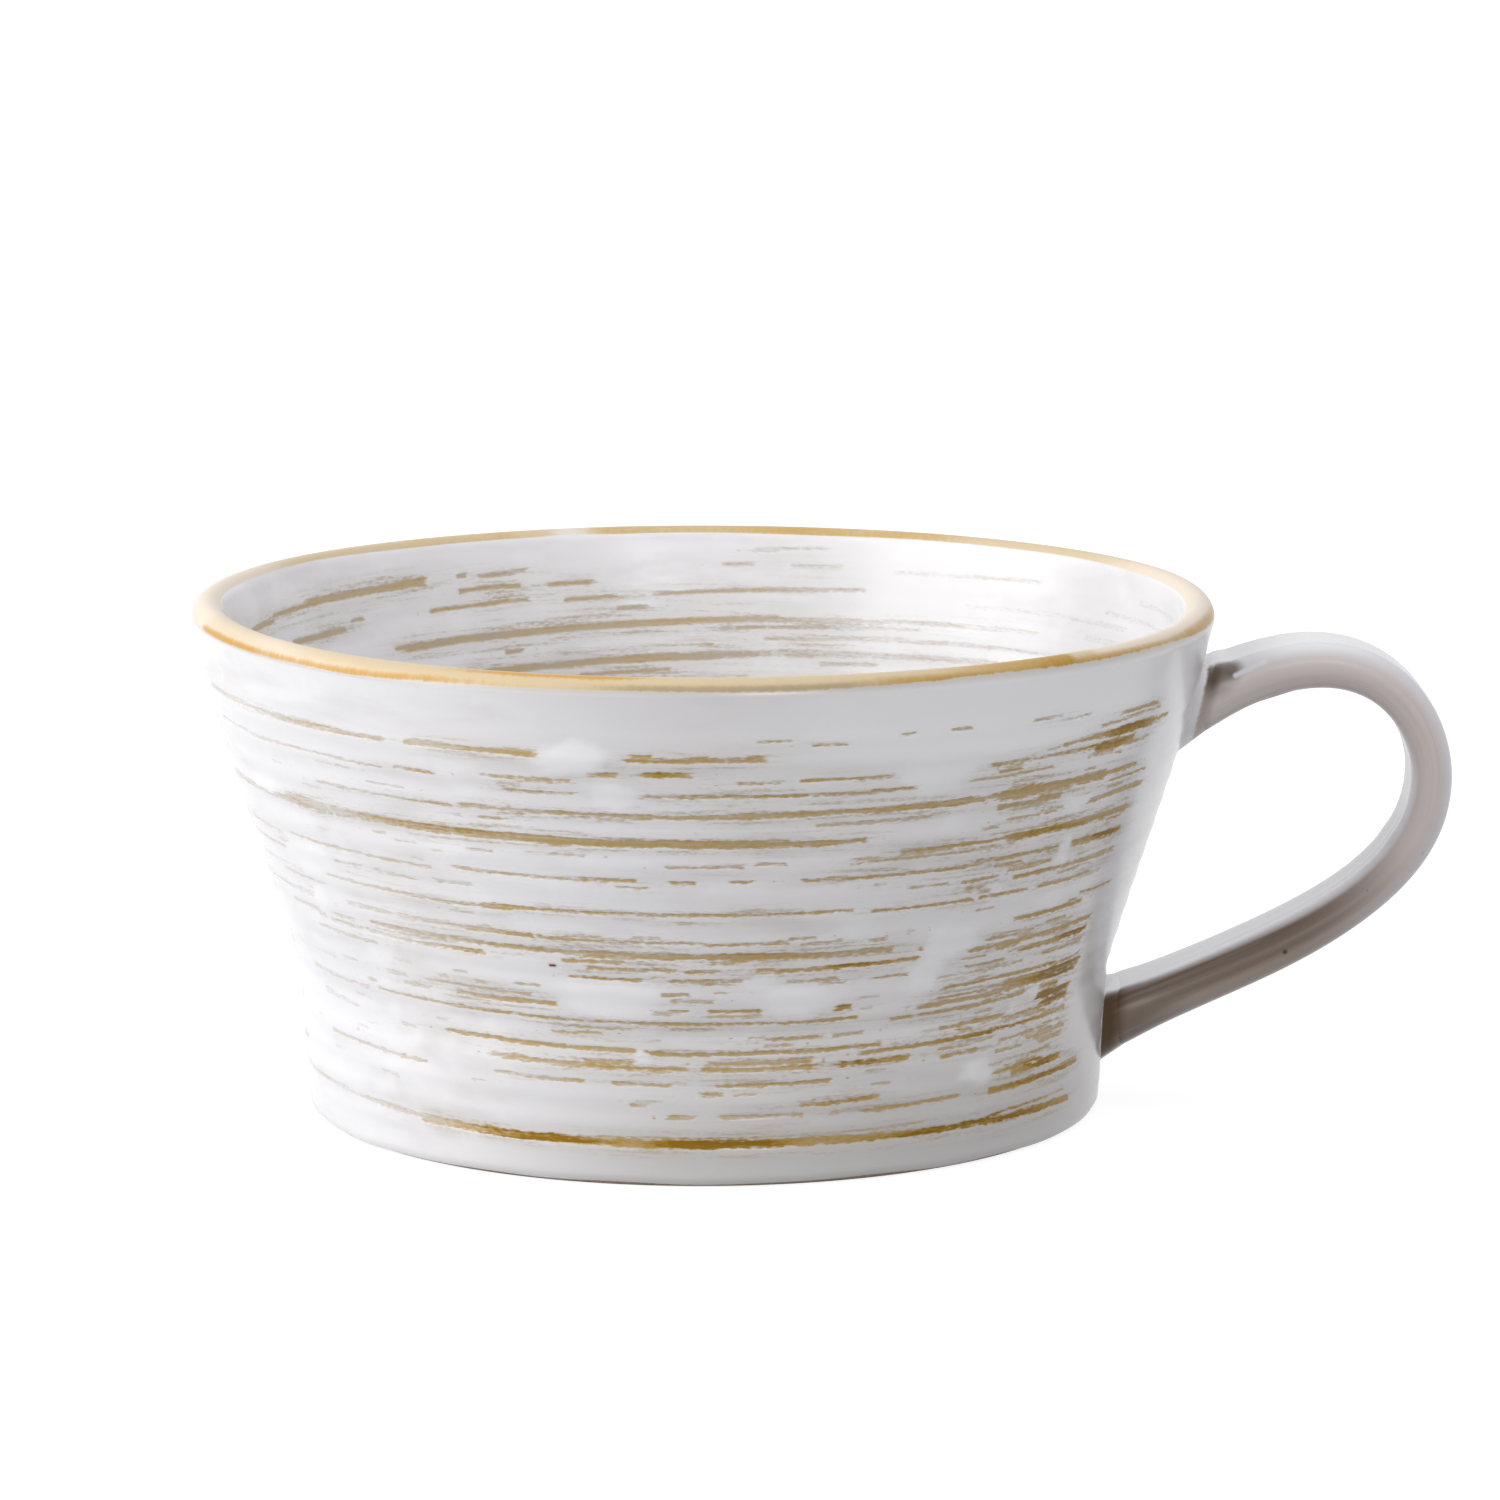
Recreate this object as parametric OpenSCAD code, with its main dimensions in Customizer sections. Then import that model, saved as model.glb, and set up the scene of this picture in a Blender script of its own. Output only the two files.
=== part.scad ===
// Wide flared tea cup with a strap handle, in glazed stoneware.
// The bowl turns about Z and stands on z = 0, and the handle points along +X.
// All lengths are in millimetres, and outside sizes are those of the glazed cup.

/* [Bowl] */
// Diameter over the lip
rim_d = 105; // [96:0.5:120]
// Height from the table to the top of the lip
cup_h = 53; // [48:0.5:64]
// Diameter of the foot at the table
foot_d = 82; // [72:0.5:90]
// Diameter at the waist, where the flare begins
waist_d = 83.6; // [76:0.2:92]
// Height of the waist above the table
waist_z = 15; // [12:0.5:20]
// Height of the collar, from the shoulder to the top of the lip
collar_h = 9; // [6:0.5:12]
// How far the shoulder stands in from the edge of the lip
collar_step = 1.5; // [0.5:0.1:4]
// Thickness of the wall and of the round lip
wall_t = 3.3; // [3:0.1:5]
// Height of the bowl's floor above the table
floor_z = 6.5; // [5:0.1:9]
// Outside radius of the bend at the waist
waist_bend_r = 8; // [3:0.5:16]
// Outside radius of the bend at the shoulder
shoulder_bend_r = 22; // [10:1:40]
// Radius between the floor and the wall inside
floor_bend_r = 6; // [3:0.5:9]

/* [Foot ring] */
// Width of the bare ring that the cup stands on
ring_w = 5; // [3:0.5:9]
// Depth of the recess inside the ring
recess_h = 2; // [1:0.1:3]
// Radius of the ring's edges
ring_edge_r = 0.8; // [0.3:0.1:1.2]

/* [Handle] */
// Drop from the top of the lip to the strap's upper root
upper_root_drop = 11.5; // [9:0.1:18]
// Height of the strap's lower root above the table
lower_root_z = 8.3; // [6:0.1:12]
// Angle above the horizontal at which the strap leaves the upper root
upper_root_a = 32; // [10:1:40]
// Angle above the horizontal at which the strap leaves the lower root
lower_root_a = 28; // [10:1:45]
// How far the tip of the strap's centre line stands out from the lip
tip_reach = 22.4; // [18:0.2:32]
// Drop from the upper root to the tip of the strap
tip_drop = 7.3; // [2:0.1:12]
// Pull of the curve out of the upper root
upper_pull = 19.5; // [12:0.5:22]
// Pull of the curve upwards from the tip
tip_up_pull = 7.8; // [5:0.1:14]
// Pull of the curve downwards from the tip
tip_down_pull = 14.3; // [8:0.1:18]
// Pull of the curve out of the lower root
lower_pull = 12.4; // [8:0.2:20]
// Width of the strap at its tip
strap_w = 10; // [7:0.5:16]
// Width of the strap at its roots
root_w = 12; // [8:0.5:18]
// Thickness of the strap at its tip
strap_t = 4.4; // [3.6:0.1:7]
// Thickness of the strap at the upper root
upper_root_t = 5.3; // [4:0.1:8]
// Thickness of the strap at the lower root
lower_root_t = 5.3; // [4:0.1:8]
// Radius of the strap's long edges
strap_edge_r = 2; // [0.8:0.1:3]

/* [Slip joints] */
// Thickness of the slip between the wall and the strap
slip_t = 0.5; // [0.3:0.1:1]
// Width of the slip fillet round each root
fillet_r = 1; // [0.8:0.1:2.5]

/* [Glaze] */
// Thickness of the glaze coats
glaze_t = 0.4; // [0.2:0.05:0.6]
// Height of the bare clay between the table and the outer glaze
bare_h = 0.8; // [0.4:0.1:3]

/* [Hidden] */
$fn = 96;
// Steps of each rounded bend, of the lip, of the strap's corners, curves and fillets
bend_steps = 8;
lip_steps = 16;
corner_steps = 4;
curve_steps = 14;
fillet_steps = 4;
// Angle round the fillet at which the slip ends on the strap
slip_end_a = 60;
// Largest share of a side that one of its rounded corners may take
corner_share = 0.48;

// Plane vectors and lists
function unit(v) = v / norm(v);
function polar(a) = [cos(a), sin(a)];
function left_of(v) = [-v[1], v[0]];
function reversed(list) = [for (i = [len(list) - 1 : -1 : 0]) list[i]];
function without_ends(list) = [for (i = [1 : len(list) - 2]) list[i]];

// A path moved to its left by d, with mitred corners
function shifted(path, d) = [
    for (i = [0 : len(path) - 1])
        let (from = max(i - 1, 0))
        let (to = min(i, len(path) - 2))
        let (before = left_of(unit(path[from + 1] - path[from])))
        let (after = left_of(unit(path[to + 1] - path[to])))
        let (mitre = before + after)
        path[i] + mitre * 2 * d / (mitre * mitre)
];

// The arc that rounds corner b between a and c, limited by the two sides
function bend(a, b, c, r) =
    let (u = unit(a - b))
    let (v = unit(c - b))
    let (half = acos(u * v) / 2)
    let (reach = min(r / tan(half), corner_share * min(norm(a - b), norm(c - b))))
    let (centre = b + unit(u + v) * reach / cos(half))
    let (start = b + u * reach - centre)
    let (first_a = atan2(start[1], start[0]))
    let (turn = -sign(cross(u, v)) * (180 - 2 * half))
    [for (k = [0 : bend_steps]) centre + norm(start) * polar(first_a + turn * k / bend_steps)];

// A path whose corners between the ends are rounded, each with its own radius
function rounded(path, radii) = [
    path[0],
    for (i = [1 : len(path) - 2]) each bend(path[i - 1], path[i], path[i + 1], radii[i - 1]),
    path[len(path) - 1]
];

// Radius of a wall line at height z, and the part of the line above that height
function height_table(line) = [for (p = line) [p[1], p[0]]];
function radius_at(line, z) = lookup(z, height_table(line));
function above(line, z) = [[radius_at(line, z), z], for (p = line) if (p[1] > z) p];

// Corners of the outside, from below the foot up to the lip's rounding
lip_r = wall_t / 2;
lip_centre = [rim_d / 2 - lip_r, cup_h - lip_r];
foot_p = [foot_d / 2, 0];
waist_p = [waist_d / 2, waist_z];
shoulder_p = [rim_d / 2 - collar_step, cup_h - collar_h];
collar_v = lip_centre - shoulder_p;
collar_a = atan2(collar_v[1], collar_v[0]) - asin(lip_r / norm(collar_v));
lip_start = lip_centre + lip_r * polar(collar_a - 90);
wall_corners = [2 * foot_p - waist_p, waist_p, shoulder_p, lip_start];

// Lines of the wall that lie inset from the outside of the glazed cup
function wall_bends(inset) = [waist_bend_r + inset, shoulder_bend_r - inset];
function wall_line(inset) = rounded(shifted(wall_corners, inset), wall_bends(inset));
function bowl_line(inset, z, bend_r) =
    let (corners = shifted(wall_corners, inset))
    let (floor_corners = [[0, z], [radius_at(corners, z), z]])
    rounded(concat(floor_corners, without_ends(corners), [corners[3]]),
            concat(bend_r, wall_bends(inset)));
function lip_line(r) =
    [for (k = [0 : lip_steps]) lip_centre + r * polar(collar_a - 90 + 180 * k / lip_steps)];

glaze_outside = wall_line(0);
clay_outside = wall_line(glaze_t);
glaze_bowl = bowl_line(wall_t, floor_z, floor_bend_r);
clay_bowl = bowl_line(wall_t - glaze_t, floor_z - glaze_t, floor_bend_r + glaze_t);

// Underside of the foot: the recess, the ring's sloping inner side and its rounded edges
ring_out_r = radius_at(clay_outside, 0);
ring_in_r = ring_out_r - ring_w;
edge_top_z = 3 * ring_edge_r;
foot_line = rounded(
    [[0, recess_h], [ring_in_r - recess_h, recess_h], [ring_in_r, 0], [ring_out_r, 0],
     [radius_at(clay_outside, edge_top_z), edge_top_z]],
    [ring_edge_r, ring_edge_r, ring_edge_r]);

// Curves of the strap's centre line in X and Z, each from its root to the tip
function on_outside(z) = [radius_at(glaze_outside, z), z];
upper_root = on_outside(cup_h - upper_root_drop);
lower_root = on_outside(lower_root_z);
tip = [rim_d / 2 + tip_reach, upper_root[1] - tip_drop];
upper_curve = [upper_root, upper_root + upper_pull * polar(upper_root_a), tip + [0, tip_up_pull], tip];
lower_curve = [lower_root, lower_root + lower_pull * polar(lower_root_a), tip - [0, tip_down_pull], tip];

// Each end of the strap: its curve, the way the strap runs along it, and its root's thickness
upper_end = [upper_curve, 1, upper_root_t];
lower_end = [lower_curve, -1, lower_root_t];
function leaving(end) = unit(end[0][1] - end[0][0]);

function bezier(c, u) =
    pow(1 - u, 3) * c[0] + 3 * pow(1 - u, 2) * u * c[1] + 3 * (1 - u) * pow(u, 2) * c[2] + pow(u, 3) * c[3];
function bezier_way(c, u) =
    unit(pow(1 - u, 2) * (c[1] - c[0]) + 2 * (1 - u) * u * (c[2] - c[1]) + pow(u, 2) * (c[3] - c[2]));

// Section of the strap, as Y and the way out of the loop, grown all round by grow
function section(w, t, grow) =
    let (edge_r = min(strap_edge_r, corner_share * t))
    [for (side = [[1, 1], [-1, 1], [-1, -1], [1, -1]], k = [0 : corner_steps])
        let (first_a = side[1] > 0 ? 45 - 45 * side[0] : 225 + 45 * side[0])
        let (corner = [side[0] * (w / 2 - edge_r), side[1] * (t / 2 - edge_r)])
        corner + (edge_r + grow) * polar(first_a + 90 * k / corner_steps)];

// A section set square to the way it runs, round a point of the centre line
function ring(centre, way, outline) =
    let (out = left_of(way))
    [for (q = outline) [centre[0] + out[0] * q[1], q[0], centre[1] + out[1] * q[1]]];

// How far along d the point p has to go to meet a wall, found by halving
search_l = 20;
search_steps = 24;
function to_wall(p, d, table, low = -search_l, high = search_l, steps = search_steps) =
    let (middle = (low + high) / 2)
    let (q = p + middle * d)
    let (outside = norm([q[0], q[1]]) > lookup(q[2], table))
    steps == 0 ? middle
    : to_wall(p, d, table, outside ? low : middle, outside ? middle : high, steps - 1);

// A ring of the root's section, moved along the strap until each point stands lift off a wall
clay_table = height_table(clay_outside);
glaze_table = height_table(glaze_outside);
function root_ring(end, grow, lift, table, share = 1) =
    let (way = leaving(end))
    let (d = [way[0], 0, way[1]])
    let (outline = [for (q = section(root_w, end[2], grow)) share * q])
    [for (p = ring(end[0][0], end[1] * way, outline)) p + (to_wall(p, d, table) + lift) * d];

// Rings that close an end of the strap or of the slip, from near the middle to the edge
cap_shares = [1 / 3, 2 / 3];
function cap_rings(end, grow, lift) =
    [for (share = cap_shares) root_ring(end, grow, lift, clay_table, share)];

// Fillet of slip from the wall up to the strap, and the glaze that covers it
fillet_h = fillet_r + 2 * slip_t;
slip_top = fillet_h * (1 - cos(slip_end_a));
function slip_rings(end) = [
    for (k = [0 : fillet_steps])
        let (a = slip_end_a * k / fillet_steps)
        root_ring(end, fillet_r * (1 - sin(a)) - glaze_t, fillet_h * (1 - cos(a)), clay_table),
    root_ring(end, -glaze_t, slip_top, clay_table)
];
function fillet_glaze_rings(end) = [
    for (k = [0 : fillet_steps])
        let (a = 90 * k / fillet_steps)
        root_ring(end, (fillet_r - glaze_t) * (1 - sin(a)), (fillet_h - glaze_t) * (1 - cos(a)), glaze_table)
];

// Where on its curve an end of the strap is clear of the slanted rings at its root
function wall_lean(end) =
    let (z = end[0][0][1])
    atan(lookup(z + 1, glaze_table) - lookup(z, glaze_table));
function clear_l(end) =
    let (way = leaving(end))
    let (slant = atan2(way[1], way[0]) + wall_lean(end))
    (end[2] / 2 + fillet_r) * tan(slant) + fillet_h + slip_t;
u_step = 0.005;
function clear_u(end) =
    [for (u = [0 : u_step : 1]) if (norm(bezier(end[0], u) - end[0][0]) > clear_l(end)) u][0];

// Rings along one curve of the strap, from its clear start to the tip
function curve_rings(end, grow) =
    let (first_u = clear_u(end))
    [for (k = [0 : curve_steps])
        let (u = first_u + (1 - first_u) * k / curve_steps)
        let (flare = pow(1 - u, 2))
        let (w = strap_w + (root_w - strap_w) * flare)
        let (t = strap_t + (end[2] - strap_t) * flare)
        ring(bezier(end[0], u), end[1] * bezier_way(end[0], u), section(w, t, grow))];
function strap_rings(grow) =
    let (lower = curve_rings(lower_end, grow))
    concat(curve_rings(upper_end, grow), [for (k = [curve_steps - 1 : -1 : 0]) lower[k]]);

// Surface through a list of rings, capped at both ends. Where the rings from number back_from on
// run back inside the others, it is looped instead, and there the quads split the other way.
module skin(rings, back_from = 0) {
    sides = len(rings[0]);
    last = len(rings) - 1;
    looped = back_from > 0;
    function at(i, j) = (i % len(rings)) * sides + j % sides;
    function middle(r) = [for (axis = [0 : 2]) [for (p = r) p[axis]] * [for (p = r) 1] / sides];
    bands = [
        for (i = [0 : looped ? last : last - 1], j = [0 : sides - 1])
            let (q = [at(i, j), at(i, j + 1), at(i + 1, j + 1), at(i + 1, j)])
            let (back = looped && i >= back_from)
            each back ? [[q[0], q[3], q[1]], [q[1], q[3], q[2]]] : [[q[0], q[2], q[1]], [q[0], q[3], q[2]]]
    ];
    first_middle = len(rings) * sides;
    last_middle = first_middle + 1;
    caps = [
        for (j = [0 : sides - 1])
            each [[first_middle, at(0, j), at(0, j + 1)], [last_middle, at(last, j + 1), at(last, j)]]
    ];
    points = [for (r = rings) each r];
    if (looped) polyhedron(points, bands);
    else polyhedron(concat(points, [middle(rings[0]), middle(rings[last])]), concat(bands, caps));
}

// Thrown bowl of clay with its wall, floor, round lip and turned foot ring
module cup_body() {
    lip = without_ends(lip_line(lip_r - glaze_t));
    outline = concat(without_ends(foot_line), above(clay_outside, edge_top_z), lip, reversed(clay_bowl));
    color("tan") rotate_extrude() polygon(concat([foot_line[0]], outline));
}

// Pulled strap of clay, cut at both ends to the curve of the wall
module handle() {
    upper = concat(cap_rings(upper_end, -glaze_t, slip_t),
                   [root_ring(upper_end, -glaze_t, slip_t, clay_table)],
                   [root_ring(upper_end, -glaze_t, slip_top, clay_table)]);
    lower = concat(cap_rings(lower_end, -glaze_t, slip_t),
                   [root_ring(lower_end, -glaze_t, slip_t, clay_table)],
                   [root_ring(lower_end, -glaze_t, slip_top, clay_table)]);
    color("rosybrown") skin(concat(upper, strap_rings(-glaze_t), reversed(lower)));
}

// Pad of slip that sticks one end of the strap to the wall, with its fillet
module slip_joint(end) {
    strap_end = concat(cap_rings(end, -glaze_t, slip_t), [root_ring(end, -glaze_t, slip_t, clay_table)]);
    wall_end = cap_rings(end, fillet_r - glaze_t, 0);
    rings = concat(wall_end, slip_rings(end), reversed(strap_end));
    color("peru") skin(end[1] > 0 ? rings : reversed(rings));
}

module upper_slip_joint() {
    slip_joint(upper_end);
}

module lower_slip_joint() {
    slip_joint(lower_end);
}

// Opening in the outer coat where the slip and the strap come through
module root_opening(end) {
    way = leaving(end);
    length = 2 * search_l;
    translate([end[0][0][0], 0, end[0][0][1]])
        rotate([0, 90 - atan2(way[1], way[0]), 0])
            linear_extrude(length, center = true)
                polygon([for (q = section(root_w, end[2], fillet_r - glaze_t)) [q[1], q[0]]]);
}

// White coat on the outside, from the bare foot line up to the lip
module outer_glaze() {
    color("ghostwhite") difference() {
        rotate_extrude() polygon(concat(above(glaze_outside, bare_h), reversed(above(clay_outside, bare_h))));
        root_opening(upper_end);
        root_opening(lower_end);
    }
}

// White coat inside the bowl, over the wall and the floor
module inner_glaze() {
    color("white") rotate_extrude() polygon(concat(glaze_bowl, reversed(clay_bowl)));
}

// Ochre coat over the round lip
module rim_glaze() {
    color("goldenrod") rotate_extrude() polygon(concat(lip_line(lip_r), reversed(lip_line(lip_r - glaze_t))));
}

// Coat over the strap and the slip fillets, flush with the outer coat at both roots
module handle_glaze() {
    outside = concat(fillet_glaze_rings(upper_end), strap_rings(0), reversed(fillet_glaze_rings(lower_end)));
    inside = concat(slip_rings(upper_end), strap_rings(-glaze_t), reversed(slip_rings(lower_end)));
    color("lightgray") skin(concat(outside, reversed(inside)), back_from = len(outside));
}

cup_body();
handle();
upper_slip_joint();
lower_slip_joint();
outer_glaze();
inner_glaze();
rim_glaze();
handle_glaze();
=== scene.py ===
"""Looks of a wide stoneware tea cup.

White glaze is brushed thinly over ochre, the lip is ochre, and the strap handle is grey. Heights are above
the table. Angles run round the cup from the front, where y is lowest, towards the handle.
"""
import math

import bpy
import numpy as np
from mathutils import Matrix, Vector


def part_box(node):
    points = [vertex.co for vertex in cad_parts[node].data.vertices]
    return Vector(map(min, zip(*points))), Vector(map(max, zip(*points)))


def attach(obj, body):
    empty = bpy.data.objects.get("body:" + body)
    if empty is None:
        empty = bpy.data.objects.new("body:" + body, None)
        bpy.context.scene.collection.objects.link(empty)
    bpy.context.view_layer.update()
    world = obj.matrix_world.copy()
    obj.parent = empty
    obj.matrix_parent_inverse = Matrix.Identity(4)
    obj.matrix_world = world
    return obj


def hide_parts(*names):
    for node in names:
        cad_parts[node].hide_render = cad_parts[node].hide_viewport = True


MM = 0.001
SEED = 11
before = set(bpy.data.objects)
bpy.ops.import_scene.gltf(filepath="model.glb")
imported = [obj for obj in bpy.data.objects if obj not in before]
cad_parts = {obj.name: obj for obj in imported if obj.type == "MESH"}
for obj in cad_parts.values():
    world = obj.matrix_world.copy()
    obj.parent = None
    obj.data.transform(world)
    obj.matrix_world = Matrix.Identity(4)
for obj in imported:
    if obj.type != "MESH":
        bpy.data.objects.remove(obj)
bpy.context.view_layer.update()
lip_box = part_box("rim_glaze")
random = np.random.default_rng(SEED)

# Sizes of the bowl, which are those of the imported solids
RIM_R = lip_box[1].x
CUP_H = lip_box[1].z
FOOT_R = 41 * MM
WAIST_R = 41.8 * MM
WAIST_Z = 15 * MM
COLLAR_H = 9 * MM
COLLAR_STEP = 1.5 * MM
WALL_T = 3.3 * MM
FLOOR_Z = 6.5 * MM
WAIST_BEND_R = 8 * MM
SHOULDER_BEND_R = 22 * MM
FLOOR_BEND_R = 6 * MM
RING_W = 5 * MM
RECESS_H = 2 * MM
RING_EDGE_R = 0.8 * MM
EDGE_TOP_Z = 3 * RING_EDGE_R
GLAZE_T = 0.4 * MM
LIP_R = WALL_T / 2
# Largest share of a side that a rounded corner takes
CORNER_SHARE = 0.48
# Height above the table at which the outer coat ends
BARE_H = 0.35 * MM

# Sizes of the strap handle, which are also those of the solids
UPPER_ROOT_Z = 41.5 * MM
LOWER_ROOT_Z = 8.3 * MM
UPPER_ROOT_ANGLE = 32
LOWER_ROOT_ANGLE = 28
TIP_X = 74.9 * MM
TIP_Z = 34.2 * MM
UPPER_PULL = 19.5 * MM
TIP_UP_PULL = 7.8 * MM
TIP_DOWN_PULL = 14.3 * MM
LOWER_PULL = 12.4 * MM
STRAP_W = 10 * MM
ROOT_W = 12 * MM
STRAP_T = 4.4 * MM
UPPER_ROOT_T = 5.3 * MM
LOWER_ROOT_T = 5.3 * MM
STRAP_EDGE_R = 2 * MM
# Glaze in the corner of each root and the wall: its width, its height and how far it goes under the wall
FILLET_R = 0.6 * MM
FILLET_H = 1.6 * MM
ROOT_SINK = 0.12 * MM
# The rings along the strap's curve start beyond the fillet, by a share of the root's thickness and a length
CLEAR_SHARE = 0.62
CLEAR_MORE = 0.9 * MM

# How finely the surfaces are divided
COLUMNS = 312
BEND_STEPS = 40
LIP_STEPS = 40
STREAK_ROW = 0.152 * MM
PLAIN_ROW = 0.45 * MM
INSIDE_ROW = 0.2 * MM
FLOOR_ROW = 0.46 * MM
LIP_ROW = 0.16 * MM
TURNING_ROW = 0.3 * MM
CLAY_ROW = 1.6 * MM
BACK_ROWS = 12
CORNER_STEPS = 8
SECTION_POINTS = 72
FILLET_STEPS = 10
JOIN_STEPS = 10
CURVE_STEPS = 84
# Places tried for the start of the curve, and reach and steps of the search for the wall
CLEAR_TRIES = 200
SEARCH_L = 20 * MM
SEARCH_STEPS = 30
# Stretches of the profile that hold no strokes, and the radius of the small flat at each centre
PLAIN_FOOT = 2.6 * MM
PLAIN_COLLAR = 3.4 * MM
CENTRE_R = 0.4 * MM
# Columns and rows over which the strokes are blurred to find what is near, and the level of a dense place
NEAR_COLUMNS = 3
NEAR_ROWS = 5
NEAR_TIMES = 2
NEAR_FULL = 0.22
# Share of each flat map that the hidden sides take, and where the back, the ends and the caps lie in it
MAP_EDGE = 0.06
MAP_BACK = 0.8 * MAP_EDGE
MAP_ENDS = np.array([0.85, 0.9]) * MAP_EDGE
MAP_CAPS = 0.95 * MAP_EDGE

# Relief of the glaze coats and of the clay
COAT_T = 0.37 * MM
STREAK_DEPTH = 0.05 * MM
STREAK_STEEP = 1.2
POOL_HEIGHT = 0.08 * MM
RING_DEPTH = 0.03 * MM
LUMP_HEIGHT = 0.04 * MM
LIP_SINK = 0.05 * MM
EDGE_SINK = 0.25 * MM
EDGE_W = 0.6 * MM
FOOT_WAVE = 0.1 * MM
# Heights in mm between the throwing rings, and between the soft lumps
RING_PITCH = 2.7
LUMP_PITCHES = (9.5, 14, 23)
# The rings and lumps fade out this far below the rim, over this length, and over this one above the table
CALM_BELOW_RIM = 4 * MM
CALM_SOFT = 6 * MM
CALM_FOOT = 3 * MM
# Turning marks under the foot: two waves, the second longer and weaker. They fade out towards the table, and
# over the last length of the underside.
TURNING_PITCH = 1.4 * MM
TURNING_DEPTH = 0.04 * MM
TURNING_LONGER = 2.7
TURNING_WEAKER = 0.6
TURNING_FROM_Z = 0.2 * MM
TURNING_SOFT = 0.8 * MM
TURNING_END = 2 * MM
# Pull marks round the strap and swells along it, which begin at a distance from the wall
PULL_DEPTH = 0.012 * MM
PULL_MARKS = 9
FINE_PULL_MARKS = 16
SWELL_HEIGHT = 0.03 * MM
SWELL_L = 7 * MM
SHORT_SWELL_L = 3.1 * MM
PULL_FROM = 3 * MM
PULL_SOFT = 5 * MM
# Distance from the wall at which the white of each root breaks into a brown line, how much further that is on
# the upper root's inner face, and the depth and width of that line
UPPER_BREAK_AT = 1 * MM
UPPER_BREAK_MORE = 1.3 * MM
LOWER_BREAK_AT = 0.4 * MM
BREAK_DEPTH = 0.06 * MM
BREAK_W = 0.35 * MM
# Share of half the strap's width at which its sides begin, share of its length at which its lower half does,
# and how much more makes each full
SIDE_FROM = 0.5
SIDE_SOFT = 0.42
LOWER_FROM = 0.5
LOWER_SOFT = 0.23
# Sides of the cup: angle of the middle, cosine from there at which the side begins, and what more fills it
LEFT_SIDE = (-90, 0.2, 0.6)
LIT_INSIDE_SIDE = (112, 0.1, 0.8)
DIPPED_SIDE = (15, -0.15, 0.9)
# The rim dips on that last side, and the dip fades out between these heights
DIP_DEPTH = 0.68 * MM
DIP_FROM = 43 * MM
DIP_TO = 52 * MM
# Slight neck under the lip
NECK_Z = 48.6 * MM
NECK_W = 2.5 * MM
NECK_DEPTH = 0.07 * MM

# Ochre over the lip, in degrees round its section from its outermost point
LIP_OCHRE_FROM = 7
LIP_OCHRE_TO = 150
LIP_OCHRE_SOFT = 16
LIP_FROM_WAVE = 2
LIP_TO_WAVE = 5
LIP_LOWER_BY = 12
LIP_HIGHER_BY = 16
LIP_EDGE = 17
LIP_CROWN = 75
LIP_HALO_LEAST = 2
# Where the lip's outer half and its frayed edge end, and how softly
LIP_OUTER_TO = 80
LIP_OUTER_SOFT = 50
LIP_FRAYED_TO = 110
LIP_FRAYED_SOFT = 60
# Angle at which the ochre is missing at the back, half the width of that gap, and how much of it is missing
LIP_GAP_ANGLE = 197.6
LIP_GAP_HALF = 4.6
LIP_GAP = 0.58
# Stretches of the lip: first and last angle, degrees over which each end fades, and level.
# Here the ochre reaches lower
LIP_LOWER = [(-120, -26, 30, 16, 1), (76, 150, 20, 30, 0.6)]
# Here it stays higher
LIP_HIGHER = [(10, 76, 24, 16, 1)]
# Here its lower edge is orange, its crown carries an orange line, or its lower edge is golden or dull
LIP_HOT_EDGE = [(-75, -44, 3, 18, 1), (-64, -10, 14, 26, 0.8), (205, 255, 10, 20, 0.4)]
LIP_HOT_CROWN = [(-33, -1, 12, 9, 1), (206, 236, 6, 20, 0.5)]
LIP_GOLD_EDGE = [(8, 98, 20, 24, 0.9)]
LIP_DULL_EDGE = [(-18, 26, 14, 14, 1)]
# Here it is golden brown all over, or pale all over
LIP_DEEP = [(16, 45.5, 26, 1.5, 1), (138, 198, 14, 6, 0.62), (202, 240, 4, 20, 0.4)]
LIP_PALE = [(236, 296, 20, 14, 1), (280, 338, 10, 34, 0.5), (46, 140, 4, 44, 0.9)]

COLUMN = 360 / COLUMNS
angles = np.arange(COLUMNS) * COLUMN


# Plane vectors, paths and smooth steps
def unit(v):
    return v / np.linalg.norm(v)


def left_of(v):
    return np.array([-v[1], v[0]])


def polar(degrees):
    return np.array([math.cos(math.radians(degrees)), math.sin(math.radians(degrees))])


def ease(x):
    x = np.clip(x, 0, 1)
    return x * x * (3 - 2 * x)


def turned(degrees):
    """Degrees brought to the half turn on either side of the front."""
    return (degrees + 180) % 360 - 180


def facing(middle, begin, more):
    """1 round the middle of a side of the cup, fading to 0 towards both ends of it."""
    return ease((np.cos(np.radians(angles - middle)) - begin) / more)


def shifted(path, distance):
    """A path moved to its left, with mitred corners."""
    sides = [left_of(unit(b - a)) for a, b in zip(path, path[1:])]
    mitres = [a + b for a, b in zip([sides[0]] + sides, sides + [sides[-1]])]
    return [p + m * 2 * distance / (m @ m) for p, m in zip(path, mitres)]


def bend(a, b, c, radius):
    """The arc that rounds corner b between a and c, limited by the two sides."""
    u = unit(a - b)
    v = unit(c - b)
    half = math.acos(u @ v) / 2
    shorter = min(np.linalg.norm(a - b), np.linalg.norm(c - b))
    reach = min(radius / math.tan(half), CORNER_SHARE * shorter)
    centre = b + unit(u + v) * reach / math.cos(half)
    start = b + u * reach - centre
    first = math.degrees(math.atan2(start[1], start[0]))
    turn = -math.copysign(180 - math.degrees(2 * half), u[0] * v[1] - u[1] * v[0])
    size = np.linalg.norm(start)
    return [centre + size * polar(first + turn * k / BEND_STEPS) for k in range(BEND_STEPS + 1)]


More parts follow.
